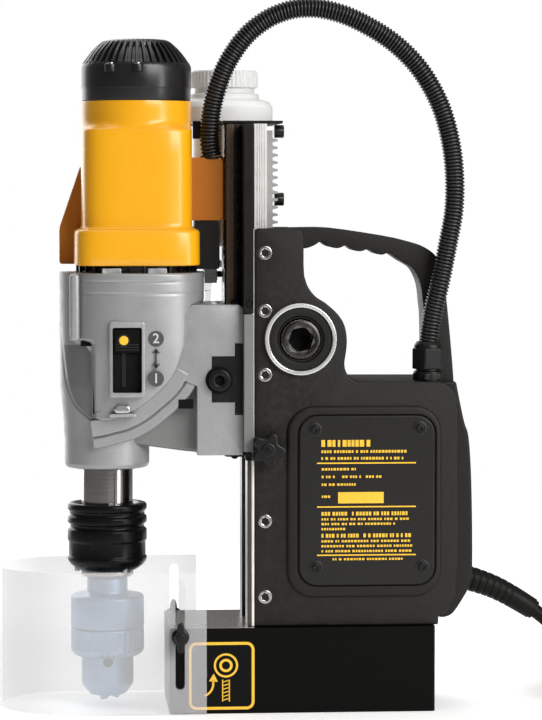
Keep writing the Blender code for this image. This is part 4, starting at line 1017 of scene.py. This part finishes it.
def dial_marks():
    """The numbers 1 and 2 on their discs, with a double arrow between them."""
    for number, z in (("2", 236.4), ("1", 211.4)):
        ring(f"dial_disc_{number}", (0, 4.9), (DIAL_FACE, DIAL_FACE + 1.6), 0, (DIAL_X, z), GREY_INK_LOOK,
             axis="Y", segments=64)
        data = bpy.data.curves.new(f"dial_number_{number}", "FONT")
        data.body = number
        data.size = 8.6 * MM
        data.extrude = data.offset = 0.12 * MM
        data.align_x, data.align_y = "CENTER", "CENTER"
        data.materials.append(SILVER_INK_LOOK)
        text = link_object(f"dial_number_{number}", data)
        text.rotation_euler = (pi / 2, 0, 0)
        text.location = Vector((DIAL_X, DIAL_FACE - 0.1, z)) * MM
        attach(text, "carriage")
    line_band("dial_arrow_stem", [(DIAL_X, 218.5), (DIAL_X, 229.3)], 1.1, DIAL_FACE, DIAL_FACE + 1.4,
              GREY_INK_LOOK)
    for name, tip, base in (("up", 230.4, 227.4), ("down", 217.4, 220.4)):
        head = [(DIAL_X, tip), (DIAL_X - 2.5, base), (DIAL_X + 2.5, base)]
        prism(f"dial_arrow_{name}", head, DIAL_FACE, DIAL_FACE + 1.4, GREY_INK_LOOK)


def casting_details():
    prism("selector_detent", rounded_rect((-118.4, -107.6), (189.6, 195.0), 2.6), -42.6, -36, BOSS_LOOK,
          soft=1.6, segments=4)
    box("detent_shelf", (-121.5, -104.5), (-41.4, -34), (187.4, 189.4), CAST_LOOK, soft=0.7)
    # A near-black box paints the shadow in the web's pocket.
    box("web_pocket_shadow", (-77.6, -68.2), (-32.2, -29), (191.8, 197.6), HOLE_SHADOW_LOOK, soft=0.5)
    box("ridge_rib", (-145.6, -139.6), (-34.6, -18), (234.6, 276.8), CAST_LOOK, soft=2.2, segments=5)
    lathe("collar_lip", [(20.6, 152.9), (25.0, 152.9), (26.4, 154), (26.4, 155.5), (20.6, 155.5)], 0.5,
          SPINDLE, CAST_LOOK)
    ring("spindle_seal", (16.6, 20.8), (152.2, 153.6), 0.3, SPINDLE, RUBBER_LOOK)
    for number, (x, z) in enumerate(((-134, 262), (-72, 262), (-126, 196), (-88, 172))):
        socket_screw(f"gearbox_screw_{number}", (x, z), 38.5 if z > 200 else 29, 3.1, 4, 3, SCREW_LOOK,
                     side=1, depth=1.6)


# ---------------------------------------------------------------- spindle and chuck


def spindle_and_sleeve():
    soften("spindle", 0.25, SPINDLE_LOOK)
    outer = [(16.9, 129.2), (20.8, 130), (24.2, 130), (25.3, 128.8), (25.3, 125.9), (23.9, 124.6),
             (23.9, 122.3), (25.3, 121.2), (25.3, 117.6), (23.6, 116.2), (23.6, 114.3), (25.3, 113.1),
             (25.3, 106.4), (24.5, 105.3), (24.5, 96.4), (25.3, 95.4), (25.2, 93.4), (23.2, 90.6),
             (19.6, 87.8), (16.9, 86.6), (16.9, 90)]
    lathe("quick_release_sleeve", outer, 0.7, SPINDLE, SLEEVE_LOOK, "release_sleeve", segments=128, steps=4,
          slot="black_plastic", replaces="release_sleeve")
    end = [(13.1, 82.8), (15.6, 82.8), (16.6, 84), (16.6, 88.5), (13.1, 88.5)]
    lathe("sleeve_end_ring", end, 0.4, SPINDLE, STEEL_LOOK, "release_sleeve")
    for k in range(3):
        turn = radians(120 * k + 305)
        at = (SPINDLE_X + 19.4 * cos(turn), 19.4 * sin(turn))
        ring(f"sleeve_pin_{k}", (0, 1.7), (86.2, 91), 0.4, at, SCREW_LOOK,
              "release_sleeve", segments=32)


def drill_chuck():
    body = [(0, 84), (9.6, 84), (12.9, 82), (13.0, 73), (14.6, 71.2), (22.2, 71), (23.4, 69.6), (23.4, 51),
            (22.8, 50.2), (0, 50.2)]
    lathe("chuck_body", body, 0.5, SPINDLE, CHUCK_LOOK, "spindle", slot="bright_steel",
          replaces="drill_chuck_body")
    nose = [(0, 51), (16.6, 51), (16.6, 14.6), (15.6, 12.4), (11.4, 7.2), (8.8, 6.6), (6.4, 7.6), (6.4, 11),
            (0, 11)]
    lathe("chuck_nose", nose, 0.4, SPINDLE, CHUCK_LOOK, "spindle")
    for k in range(3):
        # Near-black discs paint the shadow in the chuck's key holes.
        hole = ring(f"key_hole_shadow_{k}", (0, 3.2), (16.4, 16.9), 0, (0, 0), HOLE_SHADOW_LOOK, None, "X", 32)
        turn = Matrix.Rotation(radians(120 * k + 30), 4, "Z")
        hole.data.transform(Matrix.Translation(Vector((SPINDLE_X, 0, 29.5)) * MM) @ turn)
        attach(hole, "spindle")
    teeth = 36
    # Radius, height and how deep the teeth are cut there.
    profile = [(17.0, 31.9, 0), (19.4, 31.9, 1), (21.8, 33.4, 1), (23.2, 35.6, 0.15), (23.4, 36.2, 0),
               (23.4, 37, 0.25), (23.4, 48.4, 0.25), (23.4, 49.0, 0), (22.9, 49.8, 0), (17.0, 49.8, 0)]
    rows = [round_row(SPINDLE, height, lambda share: radius - depth * 3.4 * abs(share * teeth % 1 - 0.5), 360)
            for radius, height, depth in profile]
    skin("chuck_key_sleeve", rows, CHUCK_LOOK, "chuck_sleeve", True, smooth=45, slot="bright_steel",
         replaces="chuck_sleeve")
    for k in (1, 2, 3):
        soften(f"chuck_jaw_{k}", 0.4, STEEL_LOOK)


def chip_guard():
    """Clear U-shaped guard with a slot in each cheek, its far cheek a little shorter."""
    centre, outer, inner, end = (-144, 0), 47, 45, -60.8
    outline = [(end, -outer), *arc(centre, outer, 270, 90, 72), (end, outer),
               (end, inner), *arc(centre, inner, 90, 270, 72), (end, -inner)]
    guard = prism("guard_shield", outline, 0.9, 90.2, GUARD_LOOK, "chip_guard", axis="Z",
                  slot="milky_plastic", replaces="chip_guard")
    slot = rounded_rect((-80.4, -74.6), (16.2, 84.3), 2.85)
    cheeks = [cutter(f"guard_slot_{side + 1}", slot, side * 40, side * 50) for side in (-1, 1)]
    cut(guard, *cheeks, cutter("guard_far_step", rectangle((-63, -50), (-5, 100)), 40, 50))
    rounded(guard, 0.45, 2, 40)
    for name, side in SIDES:
        thumb_screw(name, side)


def thumb_screw(name, side):
    body = f"thumb_screw_{name}"
    profile = [(0, 33), (2.4, 33), (2.4, 47.3), (5.6, 47.3), (5.6, 50.2), (3.6, 51.2), (3.6, 56.4), (3, 57.4),
               (0, 57.4)]
    lathe(f"wing_hub_{name}", profile, 0.6, THUMB, BLACK_LOOK, body, "Y", 64, side, slot="black_plastic",
          replaces=body)
    wing = [(-2.0, 2), (-2.3, 6), (-1.5, 9.4), (0, 10.2), (1.5, 9.4), (2.3, 6), (2.0, 2), (2.4, -2),
            (2.0, -8), (0, -9.6), (-2.0, -8), (-2.4, -2)]
    outline = [(THUMB[0] + a, THUMB[1] + b) for a, b in wing]
    prism(f"wing_{name}", outline, side * 50.6, side * 56.8, BLACK_LOOK, body, 0.9)


# ---------------------------------------------------------------- slide


SLIDE_FLOOR, SLIDE_TOP = 160, 370.7


def slide():
    near = [(-34.8, -16.7), (-29.4, -16.7), (-29.4, -26.3)]
    for x in (-27.9, -26.4, -24.9, -23.4):
        near += [(x - 0.45, -26.3), (x - 0.2, -25.5), (x + 0.2, -25.5), (x + 0.45, -26.3)]
    near.append((-21.5, -26.3))
    outline = near + [(x, -y) for x, y in reversed(near)]
    prism("slide_extrusion", outline, SLIDE_FLOOR, SLIDE_TOP, RAIL_LOOK, axis="Z", smooth=20,
          slot="slide_aluminium", replaces="slide_bar")
    for side in (-1, 1):
        box(f"neck_cover_{side + 1}", (-35.3, -29.7), (side * 16.9, side * 21.6), (160.4, 370.3), BLACK_LOOK,
            soft=0.5)
        # Thin strips on the carrier's faces paint its highlight.
        box(f"carrier_highlight_strip_{side + 1}", (-46.6, -42.0), (side * 19.4, side * 20.35), (160.6, 370.1),
            CARRIER_HIGHLIGHT_LOOK, soft=0.3)
    prism("carrier_rail", rounded_rect((-47.8, -35.1), (-20, 20), 5.8), SLIDE_FLOOR, SLIDE_TOP, CARRIER_LOOK,
          soft=0.5, segments=2, axis="Z", slot="magnet_black", replaces="carrier_bar")
    for number, z in enumerate((366.2, 323.1)):
        socket_screw(f"rack_screw_{number}", (0, z), -8.9, 4.1, 6, 3.4, SOCKET_LOOK, side=1, axis="X",
                     depth=2.2)
    for number, z in enumerate((257.8, 161.4)):
        socket_screw(f"bar_screw_{number}", (-41.6, z), -20.7, 2.6, 2.5, 2.4, SOCKET_LOOK)
    soften("rack", 0.12, RACK_LOOK)
    for name, _ in SIDES:
        # The guide rails carry the way steel with painted shade.
        soften(f"guide_rail_{name}", 0.3, WAY_SHADE_LOOK)
        soften(f"gib_strip_{name}", 0.3, WAY_LOOK)
    soften("clamp_plate", 0.6, BLACK_LOOK, 3)
    socket_screw("clamp_cap_screw", CLAMP_SCREW, -38.2, 6.9, 8, 6.2, SOCKET_LOOK, depth=3.4, soft=0.7,
                 shadowed=True, slot="magnet_black", replaces="clamp_screw")
    ring("clamp_washer", (6, 8.6), (-34.2, -33), 0.3, CLAMP_SCREW, LABEL_LOOK, axis="Y",
          segments=64)


# ---------------------------------------------------------------- frame


def frame_casting():
    """The frame again, with rounder edges than the CAD's."""
    rear = [(-30, 54.3), (86.5, 54.3), (86.5, 60), (92, 62.5), (97, 72), (99, 95), (98.5, 150)]
    hub_curve = [(34.6, 208.7), (30.2, 211.4), (27.4, 215.4), (26.6, 220.5), (27.6, 227.5), (28.1, 235.3),
                 (26.6, 244.1), (22.2, 251.3), (14.8, 258), (8.2, 262.4), (3.6, 268.4), (1.2, 275.2)]
    outline = [*rear, *arc((84, 194), 14.5, 0, 90, 12), *smooth_line(hub_curve, 4), (0.8, 282),
               *arc((-4.2, 300), 5, 0, 90, 6), (-25, 305), *arc((-27, 302), 3, 90, 180, 4)]
    column = prism("frame_column", outline, -38, 38, FRAME_LOOK, "frame", 1.7, slot="frame_charcoal",
                   replaces="main_frame")
    cut(column,
        cutter("flange_cutter", rectangle((-40, -20.9), (40, 320)), -26.7, 26.7),
        cutter("rack_cutter", rectangle((-22, -12.2), (40, 320)), -8.8, 8.8),
        cutter("stop_cutter", rectangle((-22, -5.5), (252, 320)), -5.2, 5.2),
        cutter("rail_cutter", rectangle((-40, -30), (40, 320)), -50, 50),
        ring("hub_cutter", (0, 16), (-50, 50), 0, HUB, HOLE_SHADOW_LOOK, None, "Y", 64))
    handle = prism("frame_handle", handle_outline(), -15, 15, FRAME_LOOK, "frame", 5.2, 5)
    cut(handle, cutter("handle_stop_cutter", rectangle((-22, -5.5), (280, 320)), -5.2, 5.2))
    bulge = [(98.8, 207.8), (101.2, 195.4), (104.2, 181.7), (107.1, 171.3), (108.9, 141.7), (109.6, 91.3),
             (107.8, 78), (104.2, 70.3), (97.1, 59.9), (91, 57.1)]
    prism("frame_bulge", [*smooth_line(bulge, 4), (76, 60), (76, 207.8)], -27, 27, FRAME_LOOK, "frame", 9, 6)
    plate_border("near", -1)
    nameplate()
    plate_border("far", 1)
    for number, at in enumerate(((5.5, 180), (75.5, 180), (5.5, 88), (75.5, 88))):
        socket_screw(f"panel_screw_{number}", at, 43.4, 2.9, 2, 2.4, SOCKET_LOOK, "frame", 1, depth=1.2,
                     turn=0.5 * number)
    lathe("lock_boss", [(0, -39.3), (6.4, -39.3), (7.2, -38.5), (7.2, -36), (0, -36)], 0.4, LOCK, FRAME_LOOK,
          "frame", "Y", 64)


def handle_outline():
    outer = [(-14, 304.9), (0, 305.2), (20.5, 304.9), (52.6, 300.2), (69, 296.5), (79.6, 292.8),
             (87.8, 286.3), (91.5, 276), (93.7, 262), (96.2, 238.2), (98.8, 207.8), (99.4, 190), (99, 165)]
    grips = [(80, 165), (80, 200), (80, 230), (79.7, 248.7), (78.9, 256.9), (77.3, 269.2), (73.2, 278.2),
             (68.6, 281.8), (64.8, 283.9), (60.8, 286.6), (56.7, 289.0), (53, 287.9), (48.8, 288.6),
             (43.9, 291.4), (40.8, 290.5), (38, 290.1), (34, 291), (29.9, 293.9), (26.6, 292.6),
             (23.3, 292.1), (18, 293.4), (13.7, 296.2), (9.6, 294), (5.5, 292.4), (0, 291.8), (-14, 291.8)]
    return [*smooth_line(outer, 3), *smooth_line(grips, 3)]


def plate_border(name, side):
    """Raised border on the frame's side, round the plate set into it."""
    rim = prism(f"plate_border_{name}", rounded_rect((-9.8, 88), (72.6, 193.4), 17),
                *sorted((side * 36, side * 40.4)), FRAME_LOOK, "frame", 2.2, 5)
    opening = rounded_rect((-3.4, 84.8), (79.4, 188.4), 12.4)
    floor_depth = 38.4 if side < 0 else 30
    cut(rim, cutter(f"border_cutter_{name}", opening, *sorted((side * floor_depth, side * 46))))


PLATE_FACE = -41.0
# Rows of blank marks on the nameplate where print would be: height, mark height, spans in x.
PRINT_ROWS = [
    (170.1, 4.2, [(11.7, 43.5)]), (164.9, 1.7, [(11.7, 65.6)]), (160.6, 1.7, [(11.7, 63.5)]),
    (153.8, 1.5, [(11.9, 33.5)]), (149.0, 1.5, [(11.9, 20.3), (24.8, 36.7), (39.8, 50.0)]),
    (144.1, 1.5, [(11.9, 34.2)]), (136.5, 1.5, [(12.0, 17.7)]), (125.7, 2.4, [(11.8, 29.0), (31.1, 66.8)]),
    (122.2, 1.4, [(11.8, 68.9)]), (119.2, 1.4, [(11.8, 58.3)]), (116.0, 1.4, [(11.8, 27.2)]),
    (111.8, 2.4, [(11.8, 35.7), (38.3, 68.4)]), (108.3, 1.4, [(11.8, 67.9)]), (105.2, 1.4, [(11.8, 70.0)]),
    (102.0, 1.4, [(11.8, 69.5)]), (96.9, 1.3, [(18.8, 63.1)]),
]


def nameplate():
    """The plate with a dimple and a screw at each corner, and its blank print."""
    prism("nameplate", rounded_rect((-2.2, 83.5), (80.4, 187.4), 11.4), PLATE_FACE, -39.4, PLATE_LOOK,
          "frame", 0.8, slot="black_plastic", replaces="nameplate_cover")
    for number, at in enumerate([(7.6, 178.8), (74.0, 179.4), (8.4, 91.7), (75.6, 91.8)]):
        lathe(f"plate_dimple_{number}", [(3.1, -41.4), (4.6, -41.1), (4.6, -40.6), (3.1, -40.6)], 0.15, at,
              PLATE_LOOK, "frame", "Y", 48)
        socket_screw(f"plate_screw_{number}", at, -41.7, 2.7, 1.4, 2.3, SOCKET_LOOK, "frame", depth=1,
                     turn=0.5 * number)
    nameplate_print()


def nameplate_print():
    """Rules, a blank yellow field and rows of plain dashes in the place of the print."""
    bm = bmesh.new()
    spread = np.random.default_rng(7)

    def bar(x0, x1, z0, z1):
        corners = rectangle((x0, x1), (z0, z1))
        add_skin(bm, [[(x, y, z) for x, z in corners] for y in (PLATE_FACE - 0.12, PLATE_FACE + 0.1)])

    for z in (157.6, 130.0, 99.5):
        bar(9.0, 71.5, z - 0.42, z + 0.42)
    bar(22.3, 51.1, 132.2, 139.3)
    for z, height, spans in PRINT_ROWS:
        for start, end in spans:
            x = start
            while x < end - 0.8:
                wide = float(spread.uniform(0.8, 1.5)) * (1.9 if height > 3 else 1.15)
                stop = min(x + wide, end)
                bar(x, stop, z - height / 2, z + height / 2)
                x = stop + (0.55 if spread.random() < 0.75 else 1.5)
    to_object("nameplate_print", bm, INK_LOOK, "frame", 30)


def lock_knob():
    """Five-lobed star knob on its hub."""
    lobes = 5
    star = round_row(LOCK, 0, lambda share: 9.7 + 1.9 * cos(2 * pi * lobes * share + 0.4), 120)
    prism("lock_star", [point[:2] for point in star], -49.5, -41.6, BLACK_LOOK, "slide_lock", 1.6, 4,
          slot="black_plastic", replaces="slide_lock_knob")
    lathe("lock_star_hub", [(0, -50.2), (3.9, -50.2), (5, -49.4), (5, -39.6), (0, -39.6)], 0.5, LOCK,
          BLACK_LOOK, "slide_lock", "Y", 64)
    lathe("lock_star_insert", [(0, -50.7), (1.9, -50.7), (2.3, -50.2), (0, -50.2)], 0.2, LOCK, SOCKET_LOOK,
          "slide_lock", "Y", 40)


LABEL_FACE = -42.0


def magnet():
    """The electromagnet, with a bordered label that carries only a plain pictogram."""
    soften("magnet_body", 1.0, MAGNET_LOOK, 3)
    soften("magnet_coil", 0.5, COPPER_LOOK)
    line_band("magnet_label_border", rounded_rect((-71, -31.4), (3.4, 44.4), 4, 6), 1.8, LABEL_FACE - 0.15,
              LABEL_FACE + 0.2, INK_LOOK, "frame", True)
    prism("magnet_label_field", rounded_rect((-70.2, -32.2), (4.2, 43.6), 3.4), LABEL_FACE - 0.06,
          LABEL_FACE + 0.1, LABEL_LOOK, "frame")
    ink = (LABEL_FACE - 0.16, LABEL_FACE, INK_LOOK, "frame")
    for number, (radius, width) in enumerate(((7.0, 1.3), (3.4, 1.6))):
        line_band(f"label_ring_{number}", arc((-48.5, 30.5), radius, 0, 345, 47), width, *ink, True)
    left, right = -50.6, -46.4
    for number, x in enumerate((left, right)):
        line_band(f"label_shank_{number}", [(x, 21.5), (x, 7.6)], 0.7, *ink)
    for k in range(6):
        z = 8.4 + 2.3 * k
        line_band(f"label_thread_{k}", [(left, z), (right, z + 1.3)], 0.6, *ink)
    line_band("label_arrow", arc((-64.5, 19), 8, -70, 15, 12), 1.3, *ink)
    prism("label_arrow_head", [(-59.2, 20.6), (-53.6, 20.2), (-56.2, 25.4)], *ink)
    box("magnet_top_edge", (-83.4, -30.6), (-41.6, 41.6), (53.9, 54.25), STEEL_LOOK, "frame", 0.1)


# ---------------------------------------------------------------- bottle, valve, gland, far side


def coolant():
    outer = [(0, 292), (18.0, 292), (20.5, 294.5), (20.5, 370), (20.5, 372.9), (31.5, 372.9), (31.5, 383),
             (29.2, 386.4), (22.5, 388.2), (22.5, 391.2), (19.5, 391.8), (19.5, 398), (17.8, 398),
             (17.8, 387), (27.5, 384), (29.6, 381), (29.6, 375), (18.8, 375), (18.8, 296), (0, 294.4)]
    lathe("bottle_body", outer, 0.9, BOTTLE, BOTTLE_LOOK, segments=112, steps=4, slot="milky_plastic",
          replaces="coolant_bottle")
    ribs = 48
    # Radius, height and depth of the ribs there.
    profile = [(19.9, 395.5, 0), (21.6, 395.5, 0), (21.8, 396, 0.6), (21.8, 404.8, 0.6), (21.5, 405.9, 0.1),
               (20.8, 406.6, 0), (0.5, 406.6, 0)]
    rows = [round_row(BOTTLE, height, lambda share: radius - depth * cos(pi * ribs * share) ** 2, 288)
            for radius, height, depth in profile]
    skin("bottle_screw_cap", rows, BOTTLE_LOOK, "bottle_cap", smooth=40, slot="milky_plastic",
         replaces="bottle_cap")
    soften("bottle_bracket", 0.5, BLACK_LOOK)
    soften("valve_lever", 0.4, BLACK_LOOK)
    body = [(0, 257.6), (3.4, 257.6), (3.4, 264), (5.4, 266), (5.4, 271), (4.6, 272), (4.6, 277), (5.4, 278),
            (5.4, 281), (3.2, 283), (3.2, 287.6), (0, 287.6)]
    lathe("valve_body", body, 0.5, VALVE, VALVE_LOOK, segments=64, slot="milky_plastic",
          replaces="coolant_valve")
    route = [(-54.5, 26, 284), (-54.5, 26, 288.9), (-54.4, 27.2, 292.5), (-52.5, 33, 291), (-50, 40, 285),
             (-46, 52, 280), (-43.6, 59, 283), (-43.2, 60.5, 291.5)]
    sweep("coolant_tube", evenly(smooth_line(route, 8), 1), lambda i, share: 1.7, BLACK_LOOK, segments=20,
          slot="black_plastic", replaces="coolant_hose")
    box("valve_clip", (-58.6, -50.4), (19.5, 21.3), (269, 279), SCREW_LOOK)


def gland():
    at = (81, -26)
    base = [(0, 207.6), (9.4, 207.6), (9.4, 214.4), (8.0, 215), (8.0, 216.4), (0, 216.4)]
    lathe("gland_body", base, 0.4, at, BLACK_LOOK, "frame", slot="black_plastic", replaces="conduit_gland")
    for name, low, high, across in (("lower", 208.9, 213.6, 18.4), ("upper", 216, 229.2, 18.8)):
        hexagon = arc(at, across / sqrt(3), 12, 312, 5)
        prism(f"gland_nut_{name}", hexagon, low, high, BLACK_LOOK, "frame", 0.9, axis="Z")
    lathe("gland_dome", [(6.4, 228.6), (9.2, 228.6), (9.0, 231), (7.4, 233.4), (6.4, 233.4)], 0.6, at,
          BLACK_LOOK, "frame")


def control_side():
    """Panel on the far side, with the magnet's rocker switch and the start and stop buttons."""
    soften("control_panel", 0.6, PLATE_LOOK, 3)
    soften("control_board", 0.2, BOARD_LOOK)
    soften("magnet_switch", 0.7, RED_LOOK, 3)
    bezel = prism("rocker_bezel", rounded_rect((27.4, 53.8), (140.2, 174.8), 2.5), 41.6, 43.6, BLACK_LOOK,
                  "frame", 0.7)
    opening = rounded_rect((29.7, 51.5), (142.8, 172.2), 0.8)
    cut(bezel, cutter("bezel_cutter", opening, 38, 46))
    knob = [(0, 34), (7.9, 34), (7.9, 44.4), (7.0, 45.4), (5.4, 45.2), (0, 44.9)]
    bezel_ring = [(8.6, 41.6), (11.2, 41.6), (11.2, 43.2), (10.4, 43.9), (8.6, 43.9)]
    for name, x, look, colour in (("start_button", 27, GREEN_LOOK, "green"),
                                  ("stop_button", 55, RED_LOOK, "red")):
        lathe(f"{name}_cap", knob, 0.5, (x, 115), look, name, "Y", 64, slot=f"switch_{colour}", replaces=name)
        lathe(f"{name}_bezel", bezel_ring, 0.4, (x, 115), SCREW_LOOK, "frame", "Y", 64)


# ---------------------------------------------------------------- main


def plain_paint():
    """Materials for every CAD node, before the detailed pieces take their places."""
    for row in frame["record"]["subparts"]:
        paint(NODES[row["node"]], SLOT_LOOKS[row["material_slot"]])
    paint(NODES["chip_guard"], GUARD_LOOK)


def main():
    camera_and_stage()
    plain_paint()
    for build in (mains_cord, conduit, vented_cap, motor_shell, terminal_and_baffle, casting_skin,
                  clamp_block, lower_bands, cup_shade_sheet, selector, dial_marks, casting_details, keepers,
                  spindle_and_sleeve, drill_chuck, chip_guard, slide, frame_casting, frame_fasteners, hub,
                  lock_knob, magnet, coolant, gland, control_side):
        build()
    for obj in NODES.values():
        if not obj.hide_render and not obj.modifiers:
            soften(obj.name, 0.35)


main()
